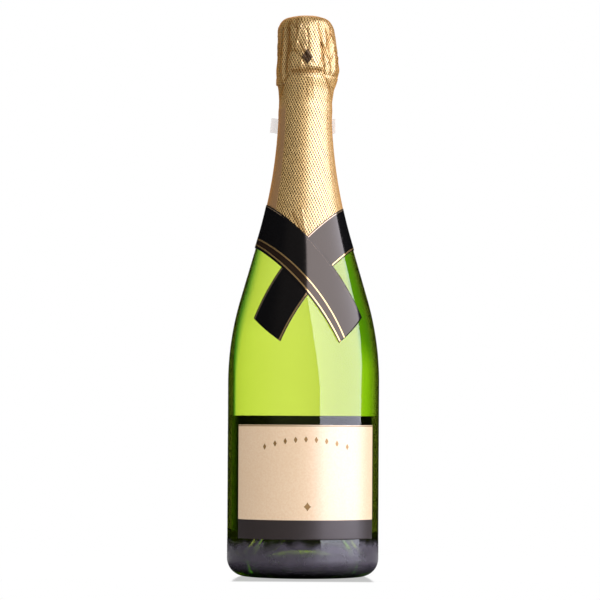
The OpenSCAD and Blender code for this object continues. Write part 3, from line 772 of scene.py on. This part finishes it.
def foilMaterial():
    finish = {
        "Coat IOR": 1.6, "Coat Roughness": 0.35, "Specular Tint": (1.0, 0.62, 0.26, 1.0),
        "Sheen Weight": 1.0, "Sheen Roughness": 0.4, "Sheen Tint": (1.0, 0.4, 0.06, 1.0),
    }
    material, graph = newMaterial("goldFoil", finish)
    uv = graph.node("ShaderNodeUVMap", uv_map="map").outputs[0]
    place = graph.place()
    z = graph.split(place)[2]
    plain = graph.attribute("plain")
    paintedFoldShade = graph.attribute("paintedFoldShade")
    # The map runs round the neck, so the flat top takes its lattice straight from X and Y
    onTop = graph.step(z, 0.3218, 0.3224)
    around = graph.product(latticeWaves(graph, uv, 1), graph.invert(onTop))
    across = graph.product(latticeWaves(graph, place, 1 / millimetre), onTop)
    pits = graph.step(graph.math("ADD", around, across), -0.2, 0.9)
    pits = graph.product(pits, graph.invert(graph.product(plain, 0.85)))
    cloud = graph.noise(place, 120.0, 3.0)
    colour = graph.mix(cloud, rgb(240, 204, 136), rgb(228, 188, 116))
    # Painted shade: the pits of the embossed dots are coloured dark brown
    colour = graph.mix(graph.product(pits, 0.95), colour, rgb(70, 38, 8))
    # Painted reflection: the plain strips are a darker brown, for the dark that the smooth foil mirrors
    colour = graph.mix(plain, colour, rgb(160, 124, 86))
    # Painted shade: the folds and the groove darken to brown and lose much of their coat
    colour = graph.mix(graph.product(paintedFoldShade, 0.65), colour, rgb(96, 58, 16))
    printed = graph.invert(graph.step(graph.attribute("mark"), 0.0, 0.18))
    graph.drive("Base Color", graph.mix(printed, colour, rgb(34, 26, 24)))
    metallic = graph.scaled(printed, -0.5, foilLook["metallic"])
    graph.drive("Metallic", graph.product(metallic, graph.invert(graph.product(plain, 0.8))))
    bare = graph.math("MAXIMUM", graph.math("SUBTRACT", graph.invert(printed), paintedFoldShade), 0.1)
    graph.drive("Coat Weight", graph.product(bare, graph.scaled(pits, -0.45, 0.95)))
    head = graph.step(z, 0.286, 0.292)
    rough = graph.scaled(cloud, 0.12, graph.scaled(head, -0.12, 0.40))
    graph.drive("Roughness", graph.scaled(pits, 0.1, rough))
    fine = graph.bump(graph.noise(place, 260.0, 4.0, 0.6), 0.25, 0.0004)
    relief = {"Height": pits, "Strength": 1.0, "Distance": -0.0004, "Normal": fine}
    graph.drive("Normal", graph.node("ShaderNodeBump", relief).outputs[0])
    return material


# How plain the foil is: a strip on its left, and one on its right that is fainter, below the head
def plainStrips(azimuth, z):
    start, end = foilLook["plainLeft"]
    left = logistic((azimuth - start) / 0.35) * logistic((end - azimuth) / 0.35)
    start, end = foilLook["plainRight"]
    right = logistic((azimuth - start) / 0.4) * logistic((end - azimuth) / 0.4)
    return np.maximum(left, 0.3 * right) * np.clip((276 - z) / 6, 0, 1)


# Evenly spaced points on a smooth curve through a table: a cubic between each two points, with the
# slope at each from its neighbours
def resample(table, count):
    table = np.asarray(table, dtype=float)
    along = np.concatenate([[0], np.cumsum(np.hypot(*np.diff(table, axis=0).T))])
    t = np.linspace(0, along[-1], count)
    slope = np.gradient(table, along, axis=0)
    i = np.clip(np.searchsorted(along, t, side="right") - 1, 0, len(along) - 2)
    run = (along[i + 1] - along[i])[:, None]
    u = ((t - along[i]) / run[:, 0])[:, None]
    return ((1 + 2 * u) * (1 - u) ** 2 * table[i] + u * (1 - u) ** 2 * run * slope[i]
            + u * u * (3 - 2 * u) * table[i + 1] + u * u * (u - 1) * run * slope[i + 1])


foilAzimuth = -180 + 360 * np.arange(foilLook["columns"]) / foilLook["columns"]
goldFoil = foilMaterial()
lozenge = {"azimuth": 3.6, "z": 299.8, "r": 17.6, "halfWidth": 3.1, "halfHeight": 4.2}


# Below 0 inside the lozenge: |s| / halfWidth + |z| / halfHeight - 1
def lozengeMark(azimuth, z, s):
    across = np.abs(s - math.radians(lozenge["azimuth"]) * lozenge["r"]) / lozenge["halfWidth"]
    away = across + np.abs(z - lozenge["z"]) / lozenge["halfHeight"]
    return np.where(np.abs(azimuth) < 60, away - 1, 1.0)


def makeFoilCap():
    line = resample(foilLook["cap"], foilLook["capRows"])
    lineZ = line[:, :1]
    lineR = line[:, 1:]
    azimuth, z = np.meshgrid(foilAzimuth, line[:, 0])
    # The creases fade out towards the middle of the flat top
    fade = np.clip(lineR / 14.5, 0, 1) ** 2
    smoothR = lineR + fromTable(z, foilLook["lean"]) * np.sin(np.radians(azimuth))
    creasedR, paintedFoldShade = foilSurface(azimuth, z, lineR, 1, headFolds)
    r = smoothR + (creasedR - smoothR) * fade
    wobble = 0.14 * periodicNoise(azimuth, 0 * z + lineR, 5, 24, 9, 0.6)
    wobble = wobble * np.clip((lineZ - 316) / 5, 0, 1) * np.clip(lineR / 8, 0, 1)
    hemDrop = 0.25 * periodicNoise(azimuth, 0 * z, 11, 20, 24, 0.0) * np.clip((292.5 - z) / 2, 0, 1)
    outer = onSurface(azimuth, z + wobble + hemDrop, r)
    topZ = 325.28
    innerTopZ = 325.1
    innerZ = np.minimum(z, innerTopZ) + wobble + hemDrop - 0.14 * np.clip((z - 317) / 5, 0, 1)
    inner = onSurface(azimuth, innerZ, r - 0.14 * np.clip((326 - z) / 6, 0.3, 1))
    points, quads = shell(outer, inner, True)
    # Two fans close the top in place of the upper rim
    rows, columns = z.shape
    count = rows * columns
    quads = quads[:-columns]
    points = np.concatenate([points, [[0, 0, topZ], [0, 0, innerTopZ]]])
    j = np.arange(columns)
    k = (j + 1) % columns
    last = count - columns
    outerFan = np.stack([last + j, last + k, 0 * j + 2 * count], -1)
    innerFan = np.stack([count + last + k, count + last + j, 0 * j + 2 * count + 1], -1)
    s = np.radians(azimuth) * r
    uv = np.stack([s, z], -1).reshape(-1, 2)
    uv = np.concatenate([uv, uv, [[0, 325], [0, 325]]])
    values = {"plain": 0 * z, "mark": lozengeMark(azimuth, z, s), "paintedFoldShade": paintedFoldShade * fade}
    # The middles of the two fans take the value of the last point
    values = {key: np.append(value, [value[-1]] * 2) for key, value in onBothFaces(values).items()}
    addPiece("foilCap", "foil", "gold_foil", ["foil_cap"], goldFoil, points, quads,
             triangles=np.concatenate([outerFan, innerFan]), uv=uv, values=values)


def makeFoilSkirt():
    lowZ = np.linspace(foilLook["hemZ"], foilLook["tearZ"], 70)
    highZ = np.linspace(foilLook["tearZ"] + 0.6, foilLook["skirtTopZ"], 62)
    heights = np.concatenate([lowZ, highZ])
    azimuth, z = np.meshgrid(foilAzimuth, heights)
    # On the glass below, on the measured outline above, and drawn in a little under the cap's hem
    measuredZ, measuredR = resample(foilLook["skirt"], 400).T
    upper = np.interp(heights, measuredZ, measuredR) - 0.3 * np.clip((heights - 288.4) / 0.8, 0, 1)
    blend = np.clip((heights - 264) / 6, 0, 1)
    glassR = outsideR(heights)
    plainR = (glassR + 0.27) * (1 - blend) + np.maximum(upper, glassR + 0.2) * blend
    r, paintedFoldShade = foilSurface(azimuth, z, plainR[:, None], 2, skirtFolds)
    r = np.maximum(r, outsideR(z) + 0.2)
    points, quads = shell(onSurface(azimuth, z, r), onSurface(azimuth, z, r - foilLook["thick"]), True)
    uv = np.stack([np.radians(azimuth) * r, z], -1).reshape(-1, 2)
    values = {"plain": plainStrips(azimuth, z), "mark": np.ones_like(z), "paintedFoldShade": paintedFoldShade}
    addPiece("foilSkirt", "bottle", "gold_foil", ["foil_skirt"], goldFoil, points, quads,
             uv=np.concatenate([uv, uv]), values=onBothFaces(values))


makeFoilCap()
makeFoilSkirt()
print("foil made")


# Clear tear tape behind the neck, with two free ends

tapeLook = {
    "z": 257.5, "width": 8.6, "wrap": 62.0, "left": 10.6, "right": 6.2, "thick": 0.2, "cut": 1.6,
    "off": 0.33, "curl": 0.012,
}


# Free end of the tape: straight on from a point, with a curl of 0.012 s^2 away from the neck
def tapeTail(point, direction, length):
    s = np.linspace(0, length, 12)[1:, None]
    side = np.array([direction[1], -direction[0]])
    if np.dot(side, point) < 0:
        side = -side
    return point + s * direction + tapeLook["curl"] * s * s * side


def tapeMaterial():
    material, graph = newMaterial("clearTape", {"Alpha": 0.2, "Roughness": 0.25})
    haze = graph.noise(graph.place(), 300.0, 2.0)
    graph.drive("Base Color", graph.mix(haze, rgb(240, 214, 204), rgb(228, 196, 188)))
    graph.drive("Normal", graph.bump(haze, 0.1, 0.0003))
    return material


def makeTearTape():
    r = float(outsideR(tapeLook["z"])) + tapeLook["off"]
    turn = np.radians(np.linspace(180 - tapeLook["wrap"], 180 + tapeLook["wrap"], 60))
    curve = np.stack([r * np.sin(turn), -r * np.cos(turn)], -1)
    forward = np.stack([np.cos(turn), np.sin(turn)], -1)
    rightTail = tapeTail(curve[0], -forward[0], tapeLook["right"])
    leftTail = tapeTail(curve[-1], forward[-1], tapeLook["left"])
    path = np.concatenate([rightTail[::-1], curve, leftTail])
    along = np.gradient(path, axis=0)
    outward = np.stack([-along[:, 1], along[:, 0]], -1)
    outward /= np.linalg.norm(outward, axis=1)[:, None]
    outward *= np.sign((outward * path).sum(1))[:, None]
    share = np.linspace(0, 1, 5)[:, None]
    inner = np.zeros((5, len(path), 3))
    inner[..., :2] = path
    inner[..., 2] = tapeLook["z"] + tapeLook["width"] * share
    # The left end is cut on a slant
    slant = np.linspace(0, 1, 11) * tapeLook["cut"] * share
    direction = leftTail[-1] - leftTail[-2]
    inner[:, -11:, :2] -= slant[..., None] * direction / np.linalg.norm(direction)
    outer = inner.copy()
    outer[..., :2] += tapeLook["thick"] * outward
    points, quads = shell(outer, inner, False)
    addPiece("tearTape", "bottle", "clear_tape", ["tear_tape"], tapeMaterial(), points, quads)


makeTearTape()
print("tear tape made")


# Cork

corkLook = {"r": 8.7, "headR": 14.4, "headH": 18.0, "foot": 281.0, "disc": 5.5, "segments": 120}
lipZ = glass["height"]
headTopZ = lipZ + corkLook["headH"]


def corkMaterial(name, scale, light, dark):
    material, graph = newMaterial(name, {"Roughness": 0.82})
    grains = {"Vector": graph.place(), "Scale": scale}
    cells = graph.node("ShaderNodeTexVoronoi", grains, feature="F1").outputs["Color"]
    tint = graph.node("ShaderNodeSeparateColor", (cells,)).outputs[0]
    edges = graph.node("ShaderNodeTexVoronoi", grains, feature="DISTANCE_TO_EDGE").outputs["Distance"]
    seam = graph.invert(graph.step(edges, 0.0, 0.06))
    pores = graph.step(graph.noise(grains["Vector"], scale * 1.7, 4.0, 0.65), 0.62, 0.7)
    dirt = graph.math("MAXIMUM", graph.product(seam, 0.5), pores)
    colour = graph.mix(tint, light, dark)
    graph.drive("Base Color", graph.mix(graph.product(dirt, 0.6), colour, rgb(96, 62, 36)))
    graph.drive("Normal", graph.bump(dirt, 0.4, -0.0004))
    return material


# Stopper: a straight body in the bore, and a head that swells over the lip
def makeCorkBody():
    r = corkLook["r"]
    headR = corkLook["headR"]
    footZ = corkLook["foot"] + 2 * corkLook["disc"]
    neckR = glass["lipR"] - 2.6
    profile = np.concatenate([
        [[0, footZ + 0.02], [r - 0.15, footZ + 0.02], [r, footZ + 0.2]],
        [[r, z] for z in np.linspace(footZ + 1, lipZ + 0.1, 24)],
        [[neckR, lipZ + 0.5]],
        arc(neckR, lipZ + 3.2, headR - glass["lipR"] + 2.1, -60, 0, 8),
        [[headR, lipZ + rise] for rise in np.linspace(9.9, 13.4, 6)],
        arc(headR - 4.5, headTopZ - 4.5, 4.5, 2, 86, 14),
        [[5, headTopZ], [2, headTopZ], [0, headTopZ]],
    ])
    points, quads, poles = revolve(profile, corkLook["segments"])
    grain = corkMaterial("corkGrain", 420.0, rgb(206, 168, 122), rgb(160, 116, 74))
    addPiece("corkBody", "cork", "cork_grain", ["cork_body"], grain, points, quads, triangles=poles)


# Disc of whole cork; the lowest one has a rounded foot
def addCorkDisc(name, node, footZ, footRound, material):
    r = corkLook["r"]
    topZ = footZ + corkLook["disc"]
    profile = np.concatenate([
        [[0, footZ], [4, footZ]],
        arc(r - footRound, footZ + footRound, footRound, -90, 0, 6),
        [[r, footZ + 2], [r, footZ + 4]],
        arc(r - 0.12, topZ - 0.14, 0.12, 0, 90, 3),
        [[4, topZ - 0.02], [0, topZ - 0.02]],
    ])
    points, quads, poles = revolve(profile, corkLook["segments"])
    addPiece(name, "cork", "cork_disc", [node], material, points, quads, triangles=poles)


makeCorkBody()
discCork = corkMaterial("corkDisc", 160.0, rgb(214, 180, 134), rgb(190, 148, 100))
discFootZ = corkLook["foot"] + 0.01
addCorkDisc("corkDiscLower", "cork_disc_lower", discFootZ, 0.8, discCork)
addCorkDisc("corkDiscUpper", "cork_disc_upper", discFootZ + corkLook["disc"], 0.12, discCork)
print("cork made")


# Wire hood, with the same twists and eyelets as the CAD

hoodLook = {
    "legWire": 0.35, "beltWire": 0.45, "pitch": 5.0, "gap": 0.06, "crownT": 0.3, "crownRim": 6.4,
    "crownRound": 5.0, "crownRise": 1.5, "seat": 0.2, "eyeW": 8.0, "eyeH": 9.0, "lean": 0.07,
    "turns": 1.5, "stemH": 4.0, "beltSeat": 0.4, "legs": (41, 131, 221, 311), "wireSides": 10,
    "beltOpening": 9.0, "eyeMouth": 60.0,
}
legWire = hoodLook["legWire"]
beltWire = hoodLook["beltWire"]
gap = hoodLook["gap"]
wireSides = hoodLook["wireSides"]
pairR = 2 * legWire + gap / 2
crownR = corkLook["headR"] + hoodLook["seat"] + hoodLook["crownT"]
crownFlatZ = headTopZ + hoodLook["seat"] + hoodLook["crownT"]
crownEdgeZ = crownFlatZ - hoodLook["crownRim"]
crownTopZ = crownFlatZ + hoodLook["crownRise"]
crownWireR = crownR + gap + legWire
crownWireZ = crownEdgeZ + legWire
loopR = beltWire + gap + legWire
beltZ = ringFootZ - loopR - legWire - hoodLook["beltSeat"]
beltR = float(outsideR(beltZ)) + gap + loopR + legWire
legRingR = glass["ringR"] + gap + pairR
strandOff = beltWire + gap / 2
stemZ = beltZ + 2 * strandOff + legWire + gap
stemR = glass["ringR"] + gap + strandOff + beltWire
eyeZ = stemZ + hoodLook["stemH"] + hoodLook["eyeH"] / 2 + 0.6


def steelMaterial():
    material, graph = newMaterial("drawnWire", {"Metallic": 1.0})
    scratch = graph.noise(graph.place(), 700.0, 4.0)
    graph.drive("Base Color", graph.mix(scratch, rgb(196, 194, 188), rgb(150, 148, 144)))
    graph.drive("Roughness", graph.scaled(scratch, 0.2, 0.22))
    return material


def turned(points, degrees):
    cosine = math.cos(math.radians(degrees))
    sine = math.sin(math.radians(degrees))
    return points @ np.array([[cosine, -sine, 0], [sine, cosine, 0], [0, 0, 1]]).T


def onCircle(r, turn, z):
    return np.stack([r * np.cos(turn), r * np.sin(turn), z + 0 * turn], -1)


# Ring round the cap, and four legs: two strands twisted round each other, over a loop on the belt
def makeHoodFrame(steel):
    crownTurn = np.radians(np.linspace(0, 360, 180, endpoint=False))
    crownPath = onCircle(crownWireR, crownTurn, crownWireZ)
    parts = [tube(crownPath, np.array([[0, 0, 1.0]]), legWire, wireSides, True)]
    legZ = np.linspace(beltZ + loopR, crownWireZ, 90)
    bendsZ = [beltZ + loopR, ringFootZ + 2.4, ringTopZ, crownWireZ]
    bendsR = [beltR + legWire / 2, legRingR, legRingR, crownR + gap + pairR]
    legR = np.interp(legZ, bendsZ, bendsR)
    strandR = legWire + gap / 2
    loopTurn = np.radians(np.linspace(0, 360, 30, endpoint=False))
    loopPath = onCircle(loopR, loopTurn, 0)[:, [0, 2, 1]] + [beltR, 0, beltZ]
    loop, loopQuads = tube(loopPath, np.array([[0, 1.0, 0]]), legWire, wireSides, True)
    for leg in hoodLook["legs"]:
        for phase in (0, 180):
            twist = np.radians(phase + 360 * (legZ - legZ[0]) / hoodLook["pitch"])
            path = onCircle(strandR, twist, legZ)
            path[:, 0] += legR
            strand, quads = tube(path, np.array([[1.0, 0, 0]]), legWire, wireSides, False)
            parts.append((turned(strand, leg), quads))
        parts.append((turned(loop, leg), loopQuads))
    points, quads = joined(parts)
    addPiece("hoodFrame", "hood", "wire", ["hood_frame"], steel, points, quads)


# One strand of the stem between the belt and its eye, twisted by 1.5 turns and leaning outwards
def onStem(s, phase):
    twist = np.radians(phase + 360 * hoodLook["turns"] * s)
    z = stemZ + hoodLook["stemH"] * s
    path = onCircle(strandOff, twist, z)
    path[:, 0] += stemR + hoodLook["lean"] * (z - stemZ)
    return path


# One wire: round the neck, up the stem, round the eye and down the stem again
def makeHoodBelt(steel):
    opening = hoodLook["beltOpening"]
    beltTurn = np.radians(np.linspace(opening, 360 - opening, 150))
    eyeTurn = np.radians(np.linspace(-hoodLook["eyeMouth"], 180 + hoodLook["eyeMouth"], 50))
    eyeHeight = eyeZ + hoodLook["eyeH"] / 2 * np.sin(eyeTurn)
    eyeR = stemR + hoodLook["lean"] * (eyeHeight - stemZ)
    bend = hoodLook["eyeW"] / 2 * np.cos(eyeTurn) / eyeR
    stepR = (beltR + stemR) / 2
    stepY = beltR * math.sin(math.radians(opening / 2))
    path = np.concatenate([
        onCircle(beltR, beltTurn, beltZ),
        [[stepR, -stepY, beltZ + 0.5]],
        onStem(np.linspace(0, 1, 26), -90),
        np.stack([eyeR * np.cos(bend), eyeR * np.sin(bend), eyeHeight], -1),
        onStem(np.linspace(1, 0, 26), 90),
        [[stepR, stepY, beltZ + 0.5]],
    ])
    across = np.tile([1.0, 0, 0], (len(path), 1))
    across[:len(beltTurn)] = path[:len(beltTurn)] * [1, 1, 0]
    points, quads = tube(path, across, beltWire, wireSides, True)
    addPiece("hoodBelt", "hood", "wire", ["hood_belt"], steel, points, quads)


def capMaterial():
    material, graph = newMaterial("capMetal", {"Metallic": 0.9, "Coat Weight": 0.5})
    place = graph.place()
    radius = graph.radius(place)
    beyond = graph.step(radius, 0.0101, 0.0103)
    ring = graph.product(graph.step(radius, 0.0094, 0.0096), graph.invert(beyond))
    cloud = graph.noise(place, 150.0, 3.0)
    colour = graph.mix(cloud, rgb(222, 184, 104), rgb(206, 166, 88))
    graph.drive("Base Color", graph.mix(ring, colour, rgb(92, 60, 30)))
    graph.drive("Roughness", graph.scaled(cloud, 0.1, 0.25))
    return material


# (r, z) of one face of the tin cap: a shallow dome with a pressed ring, and a round edge
def capLine(off):
    flatR = crownR - hoodLook["crownRound"]
    rise = hoodLook["crownRise"]
    domeR = (flatR * flatR + rise ** 2) / (2 * rise)
    r = np.linspace(0, flatR - 0.4, 26)
    pressed = 0.12 * np.exp(-((r - 7.6) / 0.5) ** 2)
    top = np.stack([r, crownTopZ - off - (domeR - np.sqrt(domeR * domeR - r * r)) + pressed], -1)
    edge = arc(flatR, crownFlatZ - hoodLook["crownRound"], hoodLook["crownRound"] - off, 72, 0, 14)
    return np.concatenate([top, edge])


def makeHoodCap():
    rim = [[crownR, crownEdgeZ + 0.1], [crownR - 0.15, crownEdgeZ], [crownR - 0.3, crownEdgeZ + 0.1]]
    profile = np.concatenate([capLine(0), rim, capLine(hoodLook["crownT"])[::-1]])
    points, quads, poles = revolve(profile, 160)
    addPiece("hoodCap", "hood", "cap_metal", ["hood_cap"], capMaterial(), points, quads[:, ::-1],
             triangles=poles[:, ::-1])


drawnSteel = steelMaterial()
makeHoodFrame(drawnSteel)
makeHoodBelt(drawnSteel)
makeHoodCap()
print("wire hood made")


# Print on the front label: an arched row of lozenges, and one lozenge below

printLook = {
    "arch": (-22.0, 25.0), "sideZ": 75.4, "topZ": 79.6, "count": 9, "low": (2.5, 41.4), "lift": 0.02,
}


# Filled outline |x / halfWidth|^power + |z / halfHeight|^power = 1 on the label, centred at (x, z) in
# the front view
def motif(x, z, halfWidth, halfHeight, power, sides):
    a = 2 * np.pi * np.arange(sides) / sides
    scale = (np.abs(np.cos(a)) ** power + np.abs(np.sin(a)) ** power) ** (-1 / power)
    radius = glass["bodyR"] + labelLook["stand"] + labelLook["thick"] + printLook["lift"]
    centre = math.degrees(math.asin(x / radius))
    azimuth = centre + np.degrees(np.cos(a) * scale * halfWidth / radius)
    outline = onSurface(azimuth, z + np.sin(a) * scale * halfHeight, radius)
    middle = onSurface(np.array([centre]), np.array([z]), radius)
    j = np.arange(sides)
    return np.concatenate([outline, middle]), np.stack([j, (j + 1) % sides, 0 * j + sides], -1)


def goldInk():
    material, graph = newMaterial("goldInk", {"Metallic": 0.3, "Roughness": 0.4})
    cloud = graph.noise(graph.place(), 800.0, 2.0)
    graph.drive("Base Color", graph.mix(cloud, rgb(166, 128, 74), rgb(140, 104, 58)))
    return material


def makeLabelPrint():
    left, right = printLook["arch"]
    parts = []
    for x in np.linspace(left, right, printLook["count"]):
        away = (2 * x - left - right) / (right - left)
        z = printLook["topZ"] - (printLook["topZ"] - printLook["sideZ"]) * away ** 2
        parts.append(motif(x, z, 1.0, 1.75, 1.15, 32))
    parts.append(motif(*printLook["low"], 2.1, 2.6, 0.85, 40))
    points, triangles = joined(parts)
    addPiece("labelPrint", "bottle", "front_paper", None, goldInk(), points, triangles=triangles)


makeLabelPrint()
print("label print made")


# Floor, and a low dark flag round the back that is seen only through the glass of the foot

floorLook = {"half": 300.0, "mirror": 0.46, "fade": (-0.071, -0.056), "flagR": 290.0, "flagZ": (0.5, 16.0)}


def addStage(name, points, quads, material):
    mesh = makeMesh(name, points, quads)
    mesh.materials.append(material)
    stage = bpy.data.objects.new(name, mesh)
    scene.collection.objects.link(stage)
    return stage


def floorMaterial():
    material, graph = newMaterial("paleFloor", {"Roughness": 0.6})
    rays = graph.node("ShaderNodeLightPath").outputs
    place = graph.place()
    # Painted shade: black where it is seen through the glass, and black near the bottle where the heel
    # mirrors it; pale to the light that falls on it
    near = graph.invert(graph.step(graph.length(place), 0.06, 0.11))
    dark = graph.math("MAXIMUM", rays["Is Transmission Ray"], graph.product(near, rays["Is Glossy Ray"]))
    graph.drive("Base Color", graph.mix(dark, (0.8, 0.8, 0.82, 1), (0.02, 0.02, 0.02, 1)))
    # White to the camera, with the foot of the bottle mirrored just in front of it
    mirror = graph.node("ShaderNodeBsdfGlossy", {"Color": (1, 1, 1, 1), "Roughness": 0.08})
    white = graph.node("ShaderNodeEmission", {"Color": (1, 1, 1, 1), "Strength": 1.0})
    share = graph.product(graph.step(graph.split(place)[1], *floorLook["fade"]), floorLook["mirror"])
    shown = graph.blend(share, white, mirror)
    graph.blend(rays["Is Camera Ray"], graph.surface, shown)
    return material


def makeFloor():
    half = floorLook["half"]
    corners = np.array([[-half, -half, 0], [half, -half, 0], [half, half, 0], [-half, half, 0]])
    addStage("floor", corners, np.array([[0, 1, 2, 3]]), floorMaterial())


def makeFlag():
    azimuth = np.linspace(70, 290, 60)[None, :]
    heights = np.array(floorLook["flagZ"])[:, None]
    points = onSurface(azimuth + 0 * heights, heights, floorLook["flagR"])
    finish = {"Base Color": (0.01, 0.01, 0.01, 1), "Specular IOR Level": 0.0}
    black, graph = newMaterial("flagBlack", finish)
    flag = addStage("flag", points, gridFaces(2, 60, False), black)
    flag.visible_camera = False
    flag.visible_diffuse = False
    flag.visible_glossy = False
    flag.visible_shadow = False


makeFloor()
makeFlag()
print("floor made")


# Two lamps in one tall softbox on the right, one for the light that it casts and one for the shine

lampLook = {
    "leftLow": (0.507, -1.088, 0.10), "leftHigh": (0.0, -1.007, 0.834), "rightLow": (1.150, 0.118, 0.12),
    "height": 1.25, "below": 0.3, "diffuse": 1.4, "shine": 5.4, "shineColour": (0.95, 0.96, 1.15),
    "apart": 0.02,
}


# Rectangular lamp that faces the side where right x up points; sizes in metres
def addLamp(name, centre, right, up, height, radiance, colour=(1, 1, 1)):
    width = right.length
    data = bpy.data.lights.new(name, "AREA")
    data.shape = "RECTANGLE"
    data.size = width
    data.size_y = height
    data.energy = radiance * math.pi * width * height
    data.color = colour
    lamp = bpy.data.objects.new(name, data)
    scene.collection.objects.link(lamp)
    right = right.normalized()
    normal = right.cross(up).normalized()
    axes = Matrix((right, normal.cross(right).normalized(), normal)).transposed().to_4x4()
    lamp.matrix_world = Matrix.Translation(centre) @ axes
    lamp.visible_transmission = False
    return lamp


def makeLamps():
    leftLow = Vector(lampLook["leftLow"])
    across = Vector(lampLook["rightLow"]) - leftLow
    rise = Vector(lampLook["leftHigh"]) - leftLow
    rise = (rise - rise.project(across)).normalized()
    height = lampLook["height"]
    centre = leftLow + across / 2 + rise * (height / 2 - lampLook["below"])
    cast = addLamp("softboxDiffuse", centre, across, rise, height, lampLook["diffuse"])
    cast.visible_glossy = False
    behind = centre - across.cross(rise).normalized() * lampLook["apart"]
    shine = addLamp("softboxShine", behind, across, rise, height, lampLook["shine"],
                    lampLook["shineColour"])
    shine.visible_diffuse = False


makeLamps()
print("lamps made")


# Surroundings. Seen through the glass: white behind the bottle, fading to green towards its right and
# into a dim green card on its left, and dark at the sides. Reflected: white only straight behind.

studioLook = {"fill": 0.7, "backdrop": 1.0, "lift": 0.2, "card": 0.95}


def makeStudio():
    world = bpy.data.worlds.new("studio")
    scene.world = world
    world.use_nodes = True
    graph = Graph(world.node_tree)
    rays = graph.node("ShaderNodeLightPath").outputs
    direction = graph.node("ShaderNodeTexCoord").outputs["Generated"]
    x, y, z = graph.split(direction)
    flat = graph.math("MAXIMUM", graph.radius(direction), 0.05)
    ahead = graph.math("DIVIDE", y, flat)
    side = graph.math("DIVIDE", x, flat)
    front = graph.step(graph.product(ahead, -1.0), 0.45, 0.8)
    tilt = graph.math("ABSOLUTE", z)
    inView = graph.product(graph.step(z, -0.6, -0.45), graph.invert(graph.step(z, 0.3, 0.4)),
                           graph.step(ahead, 0.0, 0.02))
    # fade = (side - (0.605 - 0.45 tilt)) / (0.085 + 1.15 tilt), the red a little ahead of the green
    beyond = graph.math("ADD", graph.scaled(tilt, 0.45, -0.605), side)
    fade = graph.math("DIVIDE", beyond, graph.scaled(tilt, 1.15, 0.085))
    green = graph.invert(graph.step(fade, 0.0, 1.0))
    red = graph.invert(graph.step(graph.scaled(fade, 1.2, 0.05), 0.0, 1.0))
    # White behind the bottle, a little brighter on its right
    middle = graph.step(side, -0.50, -0.41)
    level = graph.scaled(graph.step(side, -0.25, 0.1), studioLook["lift"], studioLook["backdrop"])
    level = graph.product(level, graph.scaled(graph.step(tilt, 0.08, 0.2), -0.1, 1.0))
    white = graph.product(inView, middle, level)
    # The card on the left, dimmer for rays that slope
    slope = graph.step(tilt, 0.02, 0.12)
    cardEnd = graph.invert(graph.step(graph.product(side, -1.0), 0.5, 0.84))
    dimmer = graph.scaled(slope, -0.5 * studioLook["card"], studioLook["card"])
    card = graph.product(graph.invert(middle), cardEnd, inView, dimmer)
    dim = graph.scaled(front, 0.12, 0.02)
    channels = []
    for part, steep, share in ((red, -0.18, 0.6), (green, 0.0, 1.0), (green, -0.03, 0.1)):
        tinted = graph.scaled(card, graph.scaled(slope, steep, share), dim)
        channels.append(graph.scaled(white, part, tinted))
    seen = graph.node("ShaderNodeCombineColor", channels).outputs[0]
    # Mirrored and other rays get greys, and the camera sees white
    through = rays["Is Transmission Ray"]
    mirrored = graph.product(rays["Is Glossy Ray"], graph.invert(through))
    reflected = graph.math("ADD", graph.step(ahead, 0.975, 0.99), graph.product(front, 0.08))
    other = graph.invert(graph.math("MAXIMUM", mirrored, through))
    plain = graph.scaled(mirrored, reflected, graph.product(other, studioLook["fill"]))
    plain = graph.math("MAXIMUM", plain, rays["Is Camera Ray"])
    grey = graph.node("ShaderNodeCombineColor", (plain, plain, plain)).outputs[0]
    background = world.node_tree.nodes["Background"]
    world.node_tree.links.new(graph.mix(through, grey, seen), background.inputs["Color"])
    background.inputs["Strength"].default_value = 1.0


makeStudio()
print("surroundings made")


# Camera: level, 1.7 m in front, 88 mm above the floor, turned 0.3 degrees round its own axis

cameraLook = {
    "place": (-0.00195, -1.7, 0.0878), "lens": 175.45, "sensor": 36.0, "shiftY": 0.2082, "roll": 0.0055,
}


def makeCamera():
    data = bpy.data.cameras.new("camera")
    data.sensor_width = cameraLook["sensor"]
    data.lens = cameraLook["lens"]
    data.shift_y = cameraLook["shiftY"]
    data.clip_end = 20
    camera = bpy.data.objects.new("camera", data)
    scene.collection.objects.link(camera)
    cosine = math.cos(cameraLook["roll"])
    sine = math.sin(cameraLook["roll"])
    axes = Matrix(((cosine, -sine, 0), (0, 0, -1), (sine, cosine, 0))).to_4x4()
    camera.matrix_world = Matrix.Translation(cameraLook["place"]) @ axes
    scene.camera = camera


makeCamera()
print("camera made")
